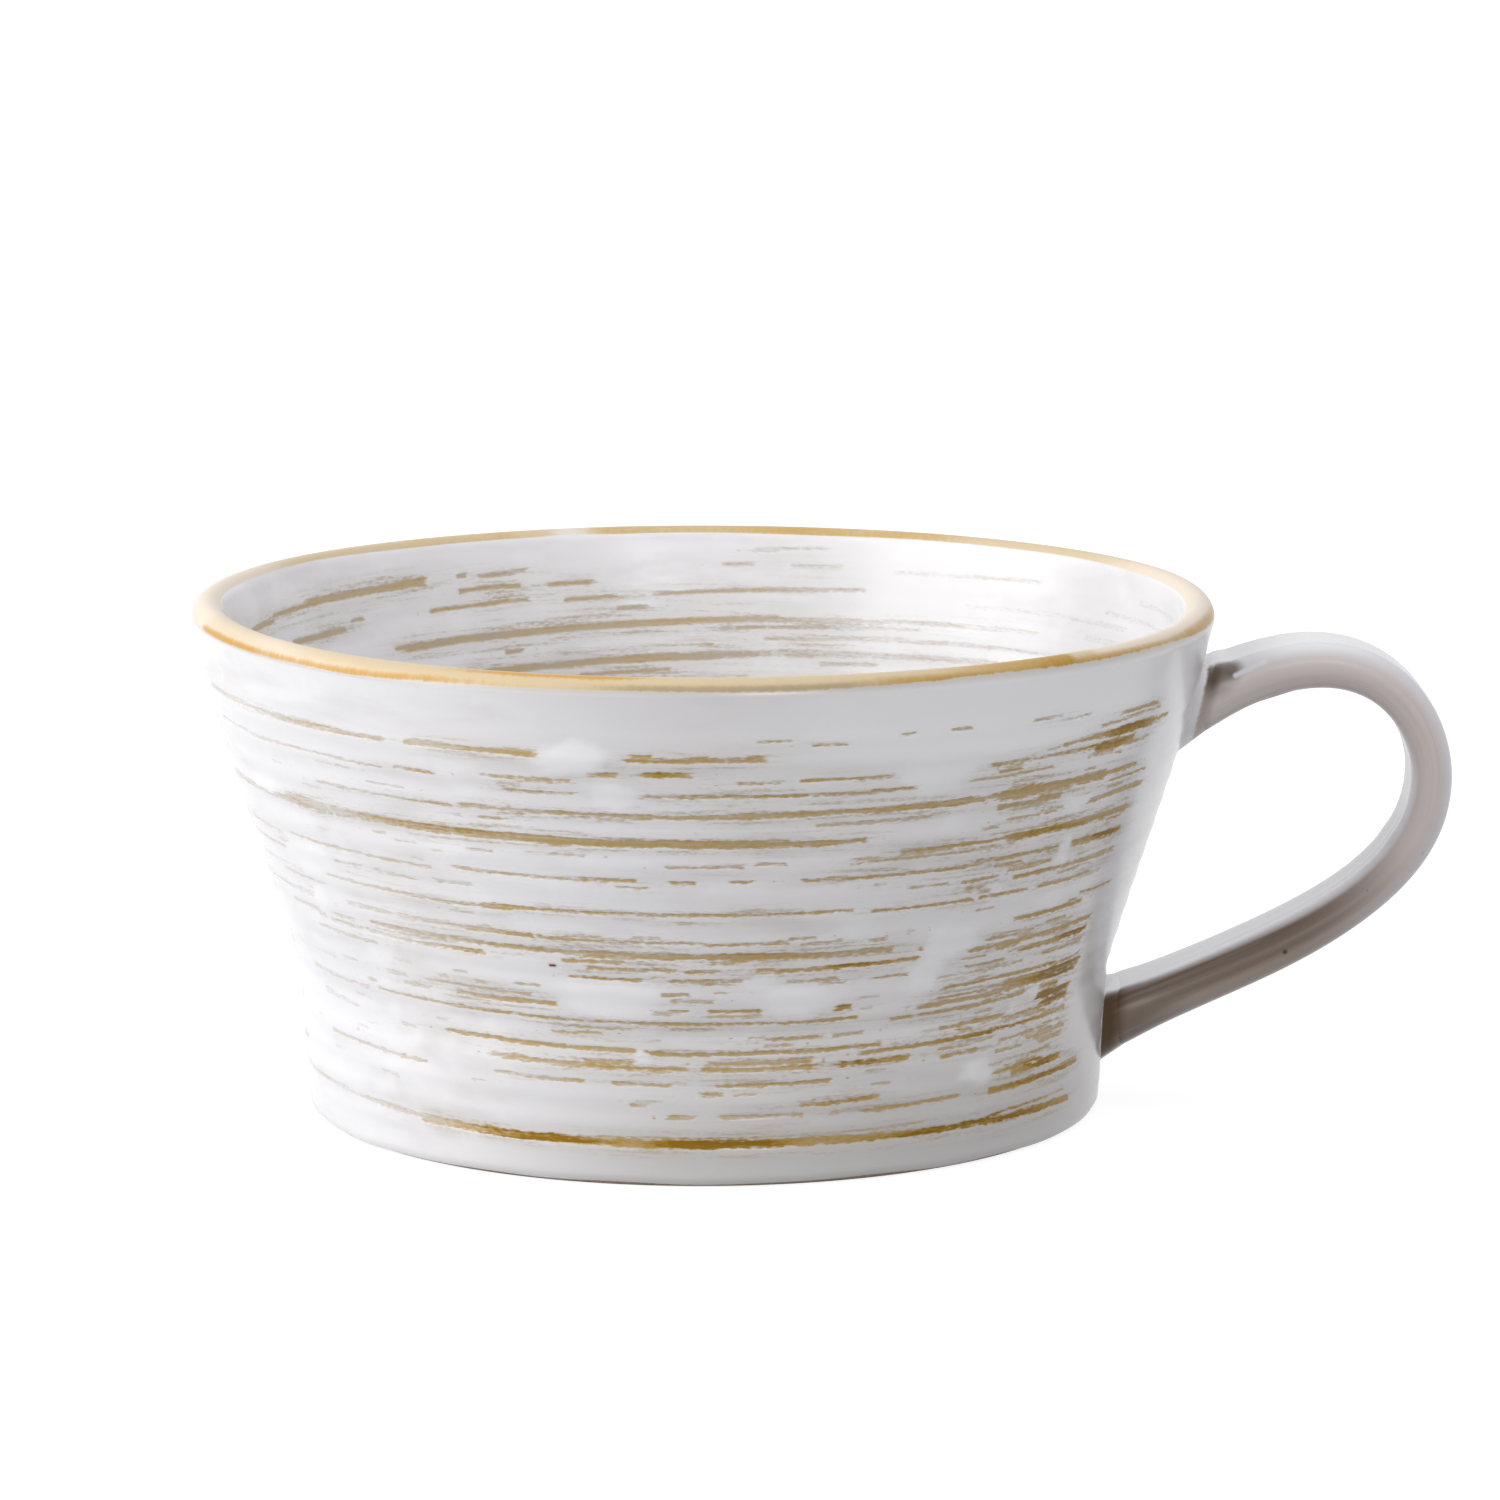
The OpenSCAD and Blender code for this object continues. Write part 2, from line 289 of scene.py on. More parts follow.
def rounded(path, radii):
    """A path whose corners between the ends are rounded, each with its own radius."""
    corners = [bend(*path[i:i + 3], radius) for i, radius in enumerate(radii)]
    return np.array([path[0], *(p for corner in corners for p in corner), path[-1]])


def lengths_along(path):
    return np.concatenate([[0], np.cumsum(np.linalg.norm(np.diff(path, axis=0), axis=1))])


def placed(path, at):
    """Points of a path at these lengths along it."""
    along = lengths_along(path)
    return np.stack([np.interp(at, along, path[:, axis]) for axis in (0, 1)], 1)


def above(path, z):
    """The part of a rising path above height z."""
    start = [np.interp(z, path[:, 1], path[:, 0]), z]
    return np.array([start, *path[path[:, 1] > z]])


def ways_along(path, at):
    """Unit vectors along a path whose points lie at these lengths."""
    ways = np.gradient(path, at, axis=0)
    return ways / np.linalg.norm(ways, axis=1, keepdims=True)


# Profile of the bowl, from the foot up the outside, over the lip and down the inside to the floor
lip_centre = np.array([RIM_R - LIP_R, CUP_H - LIP_R])
foot = np.array([FOOT_R, 0])
waist = np.array([WAIST_R, WAIST_Z])
shoulder = np.array([RIM_R - COLLAR_STEP, CUP_H - COLLAR_H])
collar = lip_centre - shoulder
collar_angle = math.degrees(math.atan2(collar[1], collar[0]) - math.asin(LIP_R / np.linalg.norm(collar)))
lip_begin = collar_angle - 90
lip_start = lip_centre + LIP_R * polar(lip_begin)
wall_corners = [2 * foot - waist, waist, shoulder, lip_start]


def wall_line(inset):
    return rounded(shifted(wall_corners, inset), [WAIST_BEND_R + inset, SHOULDER_BEND_R - inset])


def bowl_line(inset, z, bend_r):
    """The inside from the floor's centre up to the lip."""
    corners = shifted(wall_corners, inset)
    edge_r = np.interp(z, [c[1] for c in corners], [c[0] for c in corners])
    path = [np.array([0, z]), np.array([edge_r, z]), *corners[1:]]
    return rounded(path, [bend_r, WAIST_BEND_R + inset, SHOULDER_BEND_R - inset])


def lip_line(radius):
    turns = [lip_begin + 180 * k / LIP_STEPS for k in range(LIP_STEPS + 1)]
    return np.array([lip_centre + radius * polar(turn) for turn in turns])


outside_path = above(wall_line(0), BARE_H)
outside_r, outside_z = outside_path.T
lip_path = lip_line(LIP_R)
inside_path = bowl_line(WALL_T, FLOOR_Z, FLOOR_BEND_R)[::-1]

# Brush strokes that the photograph shows: height in mm, first and last angle, thickness in mm, strength,
# and for a flatter one the share of the usual rise towards the sides
OUTSIDE_STROKES = [
    # Dashes below the plain band under the lip
    (46.3, 6, 10, 0.25, 0.7), (45.8, 12, 16, 0.25, 0.7), (46.4, 22, 23.5, 0.3, 0.7),
    (46.5, 28, 30.5, 0.3, 0.7), (46.6, 39, 43, 0.3, 0.7), (46.1, 43, 48, 0.25, 0.7),
    (45.6, 54, 62, 0.5, 0.85), (45.0, 56, 63, 0.3, 0.7),
    # Highest line, broken by the pool at the front
    (45.1, -76, -37, 0.55, 0.85), (44.6, -34, -16, 0.5, 0.9), (44.9, -33, -29, 0.35, 0.7),
    (44.9, -22, -17, 0.3, 0.7), (44.2, -8, 7, 0.4, 1), (44.6, -7.5, -5, 0.5, 0.85),
    (44.5, -1, 1, 0.4, 0.85), (44.5, 5, 7, 0.5, 0.9), (43.6, 44, 66, 0.35, 0.9), (43.6, 52, 62, 1, 1),
    (42.4, 34, 57, 0.35, 0.95), (42.3, 50, 58, 1.1, 0.95), (42.0, 55, 62, 0.3, 0.8),
    (41.0, 31, 43.5, 0.3, 0.8),
    # Second line, with a wavy stretch left of the front
    (42.1, -74, -38, 0.25, 0.7), (42.0, -62, -56, 0.3, 0.8), (41.9, -36, -31, 0.3, 0.8),
    (41, -49, -43, 0.25, 0.55), (42, -25, -14, 0.25, 0.6), (42.6, -13, -9, 0.45, 0.95),
    (42.7, -6.5, -1, 0.5, 1), (40.6, -22, -14, 0.25, 0.7), (41.9, 4, 9, 0.25, 0.75),
    (42, 11, 22, 0.3, 0.85), (40.5, -7.5, 25.5, 0.32, 0.9),
    # Third line, which thickens towards the handle
    (38.7, -50, -29, 0.3, 0.8), (38.5, -28, 4, 0.4, 0.85), (38.6, 3, 32, 0.55, 0.95),
    (39, 28, 61, 0.45, 0.9), (39, 36, 54, 1, 1), (38.4, 55, 64, 0.25, 0.75),
    (37.5, -26, -23, 0.25, 0.7), (37.4, 13, 27, 0.35, 0.6), (37.8, 36, 46, 0.55, 0.85),
    (36.8, 51, 64.5, 0.5, 0.85), (36.3, 38, 46, 0.25, 0.6), (37.1, 57, 63, 0.3, 0.8),
    # Strongest line
    (36.1, -78, -45, 0.55, 0.85), (35.9, -58, -15, 0.85, 1), (35.6, -30, 8, 0.8, 1),
    (35.5, 2, 19.5, 0.55, 1), (34.5, -42, -40, 0.3, 0.6), (35, 36, 51, 0.25, 0.65),
    (34.4, 24, 62, 0.35, 0.9), (34.5, 39, 62, 0.75, 1), (33.4, 20, 40, 0.3, 0.75),
    (33.8, 24, 30, 0.3, 0.7), (33.3, -4, -1, 0.25, 0.7), (33.3, 0, 5, 0.25, 0.75),
    (33.5, 6.5, 10, 0.25, 0.65), (33.6, 18, 21, 0.25, 0.65),
    # Dashed line above the middle
    (32, -76, -63, 0.25, 0.55), (31.9, -61, -34, 0.28, 0.75), (31.8, -31, -16, 0.28, 0.8),
    (31.7, -14.5, -7.5, 0.35, 0.85), (31, -10, -6, 0.25, 0.7), (31.6, -3.5, -0.5, 0.3, 0.85),
    (31.6, 3.5, 6, 0.3, 0.85), (31.6, 12, 16, 0.3, 0.85), (31.7, 17, 35, 0.32, 0.9),
    (32.2, 37, 48, 0.4, 0.9), (32.4, 50.5, 62, 0.7, 1), (30.9, 40, 46.5, 0.4, 0.75),
    (30.4, -76, -63, 0.4, 0.5), (30.4, -51, -46, 0.4, 0.65), (30.3, -44, -37, 0.3, 0.75),
    (30.3, -34, -28.5, 0.35, 0.65), (30.2, 25.5, 31, 0.3, 0.75), (30.2, 33, 38, 0.3, 0.75),
    (29.4, 33.5, 36, 0.3, 0.7), (30.1, 41, 62, 0.42, 0.95),
    # Thin even line at mid height
    (28.4, -78, -60, 0.3, 0.5), (28.4, -54, -24, 0.33, 0.85), (28.2, -26, 18.5, 0.28, 0.95),
    (28.1, 21, 35, 0.3, 0.9), (28.3, 36, 44, 0.3, 0.85), (28.5, 46, 56.5, 0.4, 0.85),
    (27.6, -66, -55, 0.25, 0.55), (26.5, 56, 64.5, 0.25, 0.8), (26.9, 36, 39, 0.3, 0.6),
    (25.4, 43, 57, 0.4, 0.9),
    # Broad tan lines below it
    (26, -77, -58, 0.5, 0.5), (25.9, -51, -24, 0.4, 0.7), (25.6, -31, -21, 0.4, 0.8),
    (25.3, -20, 0.5, 0.28, 0.8), (25.7, -16, -12, 0.25, 0.6), (25.1, 1, 11, 0.28, 0.8),
    (25.6, 11, 14.5, 0.25, 0.65), (25, 12.5, 17, 0.25, 0.7), (25, 21, 24, 0.3, 0.75),
    (25.5, 26.5, 27.5, 0.6, 0.6), (23.6, 28, 29.5, 0.6, 0.8), (24.4, -67, -58.5, 0.35, 0.6),
    (24.4, -55, -50, 0.35, 0.65), (24.3, -47, -22, 0.45, 0.8), (23.5, -56, -36, 0.3, 0.8),
    (23.3, -36, -28.5, 0.45, 0.9), (24, -25, -12, 0.45, 0.85), (23.8, -15, 12, 0.65, 0.95),
    (23.7, 4, 25, 0.55, 1), (23.1, -17.5, -10, 0.3, 0.75), (22.5, -60, -46.5, 0.25, 0.7),
    (22.4, -14.5, -3.5, 0.35, 0.9), (22.3, -2, 1.5, 0.35, 0.9), (22.4, 7, 10.5, 0.3, 0.85),
    (22.4, 10, 29, 0.4, 1), (23.6, 39, 47.5, 0.3, 0.85), (23, 36, 61.5, 0.4, 0.95),
    (22, 46, 61, 0.55, 1),
    # Dashes between the pools
    (21.3, -17, -7, 0.3, 0.85), (21.3, -4, 5.5, 0.28, 0.85), (20.9, 0, 4.5, 0.25, 0.75),
    (21.1, 11, 17.5, 0.28, 0.75), (20.7, 15, 19, 0.25, 0.6), (20.9, 22, 28.5, 0.28, 0.7),
    (20.9, 36.5, 43, 0.3, 0.85), (20.8, 51, 60, 0.35, 0.85), (20.3, 32, 47, 0.25, 0.75),
    (19.9, -5.5, -1.5, 0.3, 0.75), (19.2, -4, 1.5, 0.35, 0.6), (20.2, -25, -21, 0.35, 0.6),
    (19.4, -65, -58, 0.35, 0.55), (19.5, -46, -42.5, 0.35, 0.65), (19.3, -39, -23, 0.25, 0.65),
    (18.6, -43, -39, 0.5, 0.65), (18.4, -34, -19, 0.5, 0.95), (18.1, -4, -1.5, 0.35, 0.8),
    (18, 1, 8, 0.4, 0.95), (17.5, 1, 8, 0.3, 0.6), (18, 17.5, 20, 0.5, 0.9),
    (19.2, 33.5, 55, 0.35, 0.95),
    # Long thin line with dense brushing towards the handle
    (17.3, -67, -51, 0.35, 0.65), (17.1, -49, -24, 0.3, 0.85), (16.7, -31, 21, 0.3, 0.9),
    (16.5, 26, 47, 0.36, 0.95), (16.1, -18, -9, 0.3, 0.6), (16.1, -4, 2, 0.3, 0.65),
    (15, 9, 16, 0.3, 0.7), (15.1, 18, 22, 0.3, 0.65), (18.4, 44, 62, 0.9, 1), (17.6, 30, 61, 0.5, 1),
    (18, 33, 46, 0.3, 0.8), (16.9, 46, 57, 0.5, 0.85), (16, 52, 61, 0.8, 1), (14.7, 34, 46, 0.42, 0.9),
    (14.6, 46, 55, 0.35, 0.85), (15, 54, 61, 0.7, 0.95),
    # Ochre line under the waist
    (14.8, -65, -55, 0.4, 0.45), (14, -37, -9, 0.42, 0.95), (13.6, -8, 25, 0.42, 1),
    (13.4, 22, 56, 0.42, 1), (13.8, 54, 61, 0.5, 0.8), (12.3, -30, -16, 0.5, 0.7),
    (12.6, -16, -9, 0.5, 0.85), (12.1, -15, -2, 0.35, 0.9), (12.6, 1, 15, 0.5, 0.75),
    (12, 0, 16, 0.45, 0.95), (12.1, 18.5, 29.5, 0.45, 0.9), (12.6, 34, 44, 0.3, 0.8),
    (11.8, 34.5, 41, 0.35, 0.85), (12.4, 45, 53, 0.35, 0.8), (11.2, 44.5, 50, 0.3, 0.7),
    (12, 53.5, 61, 0.6, 0.85), (11.2, 54, 60, 0.45, 0.8),
    # Last dashes above the low line
    (10.8, -64, -41, 0.35, 0.75), (10.6, -29.5, -16, 0.3, 0.75), (10.4, -12, -4, 0.35, 0.85),
    (10.4, 2, 17.5, 0.4, 0.9), (9.5, 0, 3, 0.4, 0.8), (9.2, 44.5, 55, 0.35, 0.9),
    (8.8, 48, 60, 0.65, 1), (10.2, 52, 57, 0.4, 0.8), (8.3, 13.5, 25, 0.42, 1),
    (8.3, -9.5, -7.5, 0.35, 0.65), (7.2, -4.5, -1, 0.45, 0.75), (7.2, 2.5, 14, 0.42, 0.8),
    (7.2, 17.5, 19, 0.35, 0.65), (7.3, 22, 38, 0.36, 0.85), (7.4, 43.5, 66, 0.75, 1),
    # Low line near the foot, with its thin companion
    (5.3, -80, -40, 0.42, 0.75), (4.45, -42, 20, 0.8, 1, 0.45), (4.25, 12, 64, 0.7, 1, -0.5),
    (5.05, -14, 32, 0.22, 0.6, 0.6), (5, 44, 62, 0.25, 0.75),
]
INSIDE_STROKES = [
    (50.7, 164, 174, 0.3, 0.7), (48.9, 132, 155, 0.3, 0.6), (48.9, 162, 169, 0.4, 0.7),
    (48.9, 174, 178, 0.35, 0.7), (48.8, 204, 206, 0.4, 0.7), (48.6, 206.5, 211, 0.4, 0.8),
    (48.8, 212.5, 214, 0.4, 0.7), (48.4, 219, 241, 0.7, 1), (48, 238, 250, 0.45, 0.85),
    (47.4, 250, 258, 0.5, 0.85), (47.2, 195, 201, 0.4, 0.95), (47.2, 205, 214, 0.4, 0.95),
    (46, 159, 199, 0.36, 0.95), (45.5, 204, 219, 0.36, 0.95), (45.6, 230, 233, 0.35, 0.8),
    (44.7, 234, 246, 0.6, 0.9), (44.4, 188, 192, 0.4, 0.75), (42.8, 131, 224, 0.42, 0.95),
    (42.5, 170, 226, 0.5, 1), (42.4, 150, 176, 0.25, 0.8), (41.5, 126, 172, 0.3, 0.85),
    (40.3, 179, 181, 0.35, 0.8), (40.3, 205.5, 208.5, 0.4, 0.95), (39.2, 137, 212, 0.5, 1),
    (38.9, 165, 214, 0.65, 1), (38.6, 156, 164, 0.3, 0.75), (37.5, 185, 198, 0.35, 0.85),
    (46, 112, 144, 0.4, 0.5), (47.5, 100, 118, 0.35, 0.55), (44.5, 98, 122, 0.4, 0.6),
    (49.5, 95, 110, 0.3, 0.55),
]
# Drops of thick white glaze over the strokes: height and angle of the middle, half height in mm,
# half width in degrees
OUTSIDE_POOLS = [
    (44.1, -13.8, 1.8, 4), (40.4, -9.8, 1.5, 2.8), (41.4, 27, 1.7, 4.5), (36.8, 49, 1.1, 2.4),
    (31.6, 49.3, 1.5, 1.4), (30.1, -57, 1.7, 5.5), (25.6, -57, 1.5, 2), (36.9, -64, 1.1, 4),
    (19.4, -12, 1.9, 6.5), (18.9, 13, 1.8, 4.4), (20.8, 30, 1.9, 2.6), (23.6, 33, 1.6, 4.6),
    (13.2, -8, 0.7, 1.6), (9.6, 41, 1.3, 3.4), (21, 8, 1, 2), (16.7, 51.2, 0.8, 1.7),
    (15.4, 47.3, 0.6, 1.1), (12.6, 58, 0.7, 1), (26.5, 49, 1, 3), (29, 38.5, 0.7, 1.2),
]
# Places where the ochre runs thick and dark, written like the pools
DARK_PATCHES = [
    (43.7, 56, 0.6, 5), (42.4, 53, 0.7, 4), (34.4, 46, 0.4, 6), (32.4, 58, 0.5, 3), (22, 57, 0.8, 4),
    (18.3, 56, 1.3, 6), (15.8, 57, 1.4, 4), (13.4, 45, 0.4, 9), (7.4, 55, 0.5, 10), (8.3, 20, 0.4, 4),
    (4.5, 3, 0.9, 9), (4.3, 42, 0.9, 16), (4.5, -24, 0.9, 12), (22.4, 20, 0.4, 5), (18, 18.7, 0.5, 1.5),
    (42.7, -4, 0.4, 2), (23.3, -31, 0.4, 3), (9, 55, 0.5, 5), (12.1, 20, 0.4, 6), (36, -35, 0.4, 9),
    (5, -20, 0.4, 10),
]
# Drops inside
INSIDE_POOLS = [(46.5, 190, 1.4, 4), (40.8, 196, 1, 4), (44, 215, 1.2, 4), (48.3, 186, 1, 4)]
# Share by which the strokes inside are broader than they are written
INSIDE_BROADER = 1.15

# Brushing that is seeded at random: what the photograph doesn't show, and small dashes between the strokes
# above. At the back it stops short of the handle.
BACK_FROM = 114
BACK_TO = 282
BACK_HEIGHTS = [44.9, 42.1, 38.6, 35.7, 31.8, 28.4, 25.6, 23.8, 22.3, 18.2, 16.8, 13.7, 12.1, 8.1, 4.8]
# Long broken lines: heights, first and last angle, lengths and gaps in degrees. Those inside are on the near
# side, then all round below, and last on the floor.
BACK_LINES = (BACK_HEIGHTS, BACK_FROM, BACK_TO, (10, 60), (1, 12))
INSIDE_LINES = [
    ([48, 45, 42, 39.3], 262, 455, (8, 40), (2, 14)),
    ([36.4, 33.6, 30.2, 27.6, 24, 20.2, 17.5, 14.4, 11], 0, 360, (15, 90), (2, 14)),
    ([2, -2.5, -8, -13, -19, -25], 0, 360, (25, 140), (5, 40)),
]
# Their shift in height, thickness and strength
LINE_SHIFT = (-0.15, 0.15)
LINE_THICK = (0.28, 0.75)
LINE_STRENGTH = (0.7, 1)
# Zones of short dashes: count, heights, angles, lengths in degrees, thickness and strength
OUTSIDE_DASHES = [
    (150, (6, 46.5), (BACK_FROM, BACK_TO - 8), (2, 9), (0.25, 0.45), (0.55, 0.95)),
    (90, (8, 45), (34, 58), (1.5, 5), (0.2, 0.35), (0.5, 0.85)),
    (110, (8, 42), (-72, 24), (1.2, 4), (0.2, 0.32), (0.35, 0.6)),
]
INSIDE_DASHES = [
    (130, (8, 38), (0, 360), (2, 12), (0.25, 0.45), (0.55, 0.9)),
    (50, (38, 49), (250, 450), (2, 8), (0.25, 0.4), (0.5, 0.85)),
]
# Zones of drops: count, heights and angles. Then their half heights and half widths.
BACK_BLOTS = (26, (8, 45), (BACK_FROM, BACK_TO))
INSIDE_BLOTS = (24, (8, 44), (0, 360))
BLOT_HEIGHT = (0.6, 1.9)
BLOT_WIDTH = (1.2, 5)


def dashes(count, heights, spread, lengths, thick, strength):
    """Short strokes at random in a zone, each with its height, angles, thickness and strength."""
    made = []
    for start in random.uniform(*spread, count):
        stop = start + random.uniform(*lengths)
        height, *look = (random.uniform(*limits) for limits in (heights, thick, strength))
        made.append((height, start, stop, *look))
    return made


def broken_lines(heights, start, stop, lengths, gaps):
    """Long strokes that follow each other round the cup at each height, with gaps between them."""
    made = []
    for height in heights:
        at = start + random.uniform(*gaps)
        while at < stop:
            end = min(at + random.uniform(*lengths), stop)
            level = height + random.uniform(*LINE_SHIFT)
            made.append((level, at, end, random.uniform(*LINE_THICK), random.uniform(*LINE_STRENGTH)))
            at = end + random.uniform(*gaps)
    return made


def blots(count, heights, spread):
    """Drops of white glaze at random in a zone, written like the lists above."""
    columns = [random.uniform(*limits, count) for limits in (heights, spread, BLOT_HEIGHT, BLOT_WIDTH)]
    return [tuple(row) for row in np.stack(columns, 1)]


outside_strokes = OUTSIDE_STROKES + broken_lines(*BACK_LINES)
for zone in OUTSIDE_DASHES:
    outside_strokes += dashes(*zone)
outside_pools = OUTSIDE_POOLS + blots(*BACK_BLOTS)
inside_strokes = [(height, start, stop, INSIDE_BROADER * thick, strength)
                  for height, start, stop, thick, strength in INSIDE_STROKES]
for lines in INSIDE_LINES:
    inside_strokes += broken_lines(*lines)
for zone in INSIDE_DASHES:
    inside_strokes += dashes(*zone)
inside_pools = INSIDE_POOLS + blots(*INSIDE_BLOTS)


def ripple(at, waves, size):
    """A gentle closed wave round the cup: waves of these counts, with seeded phases and shares."""
    phases = random.uniform(0, 2 * math.pi, len(waves))
    shares = random.uniform(0.5, 1, len(waves))
    swings = zip(waves, phases, shares)
    sums = [share * np.sin(np.radians(at) * wave + phase) for wave, phase, share in swings]
    return size * np.sum(sums, 0) / math.sqrt(len(waves))


# Softness of a stroke's edges and the room kept above and below it, in mm
STROKE_SOFT = 0.25
INSIDE_SOFT = 0.42
STROKE_ROOM = 3
# Waves of a stroke's height in mm, and of its thickness as a share: their counts and size
WANDER = ((5, 11, 23, 41), 0.05)
SWELL = ((17, 37, 71, 113), 0.18)
# Least scores beside a stroke's line and beyond its ends, where the nearest of several strokes wins
OFF_LINE = 0.001
OFF_ENDS = 0.01
# Rise of the strokes towards both sides, and their tilt inside, in mm
OUTSIDE_LIFT = 0.65
INSIDE_TILT = 1.5
# Lobes of a drop's edge, its level and how that grows with its half height, its reach and its softness
DAB_LOBES = ((1, 2, 3, 5), 0.22)
DAB_LEVEL = 0.45
DAB_LEVEL_PER_MM = 0.32
DAB_REACH = 1.5
DAB_SOFT = 1.05
# Share by which the strokes fade where the key light falls brightest, at the far left outside and on the lit
# side inside: painted light
LIT_LEFT_FADE = 0.52
LIT_INSIDE_FADE = 0.72
# Level of the drops inside, and how well they cover the strokes
INSIDE_POOL = 0.35
INSIDE_POOL_COVER = 2


def outside_slant(degrees):
    """How the strokes rise, in mm, from the front and back towards both sides."""
    return OUTSIDE_LIFT * (1 - np.cos(2 * np.radians(degrees)))


def inside_slant(degrees):
    """How the strokes inside fall, in mm, from the handle's side to the other."""
    return INSIDE_TILT * np.sin(np.radians(degrees))


def brushed(levels, strokes, slant, soft):
    """Strokes over a grid of heights in mm and angles: their profile, reach and strength.

    The profile is 1 on the line of a stroke and 0 off it. The reach is 1 between its ends and 0 beyond them.
    """
    profiles, reaches, strengths, scores = np.zeros((4, len(levels), COLUMNS))
    for height, start, stop, thick, strength, *rise in strokes:
        middle = (start + stop) / 2
        half = (stop - start) / 2
        apart = np.abs(turned(angles - middle))
        columns = np.nonzero(apart < half + 2 * COLUMN)[0]
        reach = np.clip((half - apart[columns]) / COLUMN + 0.5, 0, 1)
        wander = ripple(angles[columns], *WANDER)
        swell = 1 + ripple(angles[columns], *SWELL)
        share = rise[0] if rise else 1
        centre = height + share * (slant(angles[columns]) - slant(middle)) + wander
        rows = np.nonzero(np.abs(levels - height) < STROKE_ROOM)[0]
        off = np.abs(levels[rows, None] - centre)
        profile = ease((thick / 2 * swell + soft - off) / (2 * soft))
        score = (profile + OFF_LINE) * (reach + OFF_ENDS)
        here = np.ix_(rows, columns)
        wins = score > scores[here]
        for field, values in ((profiles, profile), (reaches, reach), (strengths, strength), (scores, score)):
            field[here] = np.where(wins, values, field[here])
    return profiles, reaches, strengths


def dabbed(levels, spots):
    """Soft lobed spots over the same grid: 1 in their middle, 0 outside."""
    field = np.zeros((len(levels), COLUMNS))
    for height, middle, half_height, half_width in spots:
        across = turned(angles - middle)[None] / half_width
        up = (levels - height)[:, None] / half_height
        edge = 1 + ripple(np.degrees(np.arctan2(up, across)), *DAB_LOBES)
        level = min(1, DAB_LEVEL + DAB_LEVEL_PER_MM * half_height)
        field = np.maximum(field, level * ease((DAB_REACH - np.hypot(up, across) / edge) / DAB_SOFT))
    return field


# Rows of the bowl's grid: lengths along each part of the profile
def rows_of(marks, steps):
    """Lengths from mark to mark, each stretch divided into equal steps of about its own size."""
    rows = [marks[0]]
    for start, stop, step in zip(marks, marks[1:], steps):
        rows.extend(np.linspace(start, stop, round((stop - start) / step) + 1)[1:])
    return np.array(rows)


outside_length = lengths_along(outside_path)[-1]
lip_length = lengths_along(lip_path)[-1]
inside_length = lengths_along(inside_path)[-1]
floor_start = np.interp(FLOOR_Z + FLOOR_BEND_R, inside_path[::-1, 1], lengths_along(inside_path)[::-1])
outside_rows = rows_of([0, PLAIN_FOOT, outside_length - PLAIN_COLLAR, outside_length],
                       [PLAIN_ROW, STREAK_ROW, PLAIN_ROW])
lip_rows = rows_of([0, lip_length], [LIP_ROW])
inside_rows = rows_of([0, floor_start, inside_length - CENTRE_R], [INSIDE_ROW, FLOOR_ROW])
outside_count = len(outside_rows)
lip_end = outside_count + len(lip_rows) - 1
along = np.concatenate([
    outside_rows, outside_length + lip_rows[1:], outside_length + lip_length + inside_rows[1:]])
profile = np.concatenate([
    placed(outside_path, outside_rows), placed(lip_path, lip_rows)[1:], placed(inside_path, inside_rows)[1:]])
ways = ways_along(profile, along)
leans = np.stack([ways[:, 1], -ways[:, 0]], 1)

# Heights in mm at which the strokes are laid. Along the floor they go on falling towards its centre.
heights = profile[:, 1] / MM
from_floor_start = np.concatenate([[0], inside_rows[1:] - floor_start]) / MM
heights[lip_end - 1:] = np.where(
    from_floor_start > 0, (FLOOR_Z + FLOOR_BEND_R) / MM - from_floor_start, heights[lip_end - 1:])

# Fields over the grid: line, reach and strength of the brushed ochre, dark ochre and thick drops of white
outside = slice(0, outside_count)
inside = slice(lip_end, len(along))
streak, reach, force, dark, pool = np.zeros((5, len(along), COLUMNS))
for part, strokes, slant, soft in (
        (outside, outside_strokes, outside_slant, STROKE_SOFT),
        (inside, inside_strokes, inside_slant, INSIDE_SOFT)):
    streak[part], reach[part], force[part] = brushed(heights[part], strokes, slant, soft)
# The strokes fade where the key light falls brightest: painted light
lit_inside = facing(*LIT_INSIDE_SIDE)
force[outside] *= 1 - LIT_LEFT_FADE * facing(*LEFT_SIDE)
force[inside] *= 1 - LIT_INSIDE_FADE * lit_inside
dark[outside] = dabbed(heights[outside], DARK_PATCHES)
pool[outside] = dabbed(heights[outside], outside_pools)
reach *= 1 - pool
pool[inside] = INSIDE_POOL * dabbed(heights[inside], inside_pools)
reach[inside] *= 1 - INSIDE_POOL_COVER * pool[inside]
brushing = streak * reach * force

# Painted shade and light in the white: darker above the foot and a little up the wall, both most so at the
# front and right, and on the collar at the front and back; brighter on the collar towards the handle. Each
# fades over these lengths.
FOOT_SHADE_FROM = 3 * MM
FOOT_SHADE_TO = 17 * MM
WALL_SHADE_FROM = 30 * MM
WALL_SHADE_TO = 42 * MM
COLLAR_FROM = 38 * MM
COLLAR_TO = 46 * MM
# How much painted shade and light each place gets, at the least and so much more on the side meant, and
# then inside
FOOT_SHADE = 0.1
FOOT_SHADE_MORE = 0.75
WALL_SHADE = 0.12
COLLAR_SHADE = 0.5
COLLAR_LIGHT = 0.08
COLLAR_LIGHT_MORE = 0.92
INSIDE_SHADE = 0.22
INSIDE_LIGHT = 0.18
LIT_INSIDE_SHADE = 0.2


def passing(start, stop):
    """0 at the first length up the wall and before it, 1 at the second and beyond it."""
    return ease((along - start) / (stop - start))[:, None]


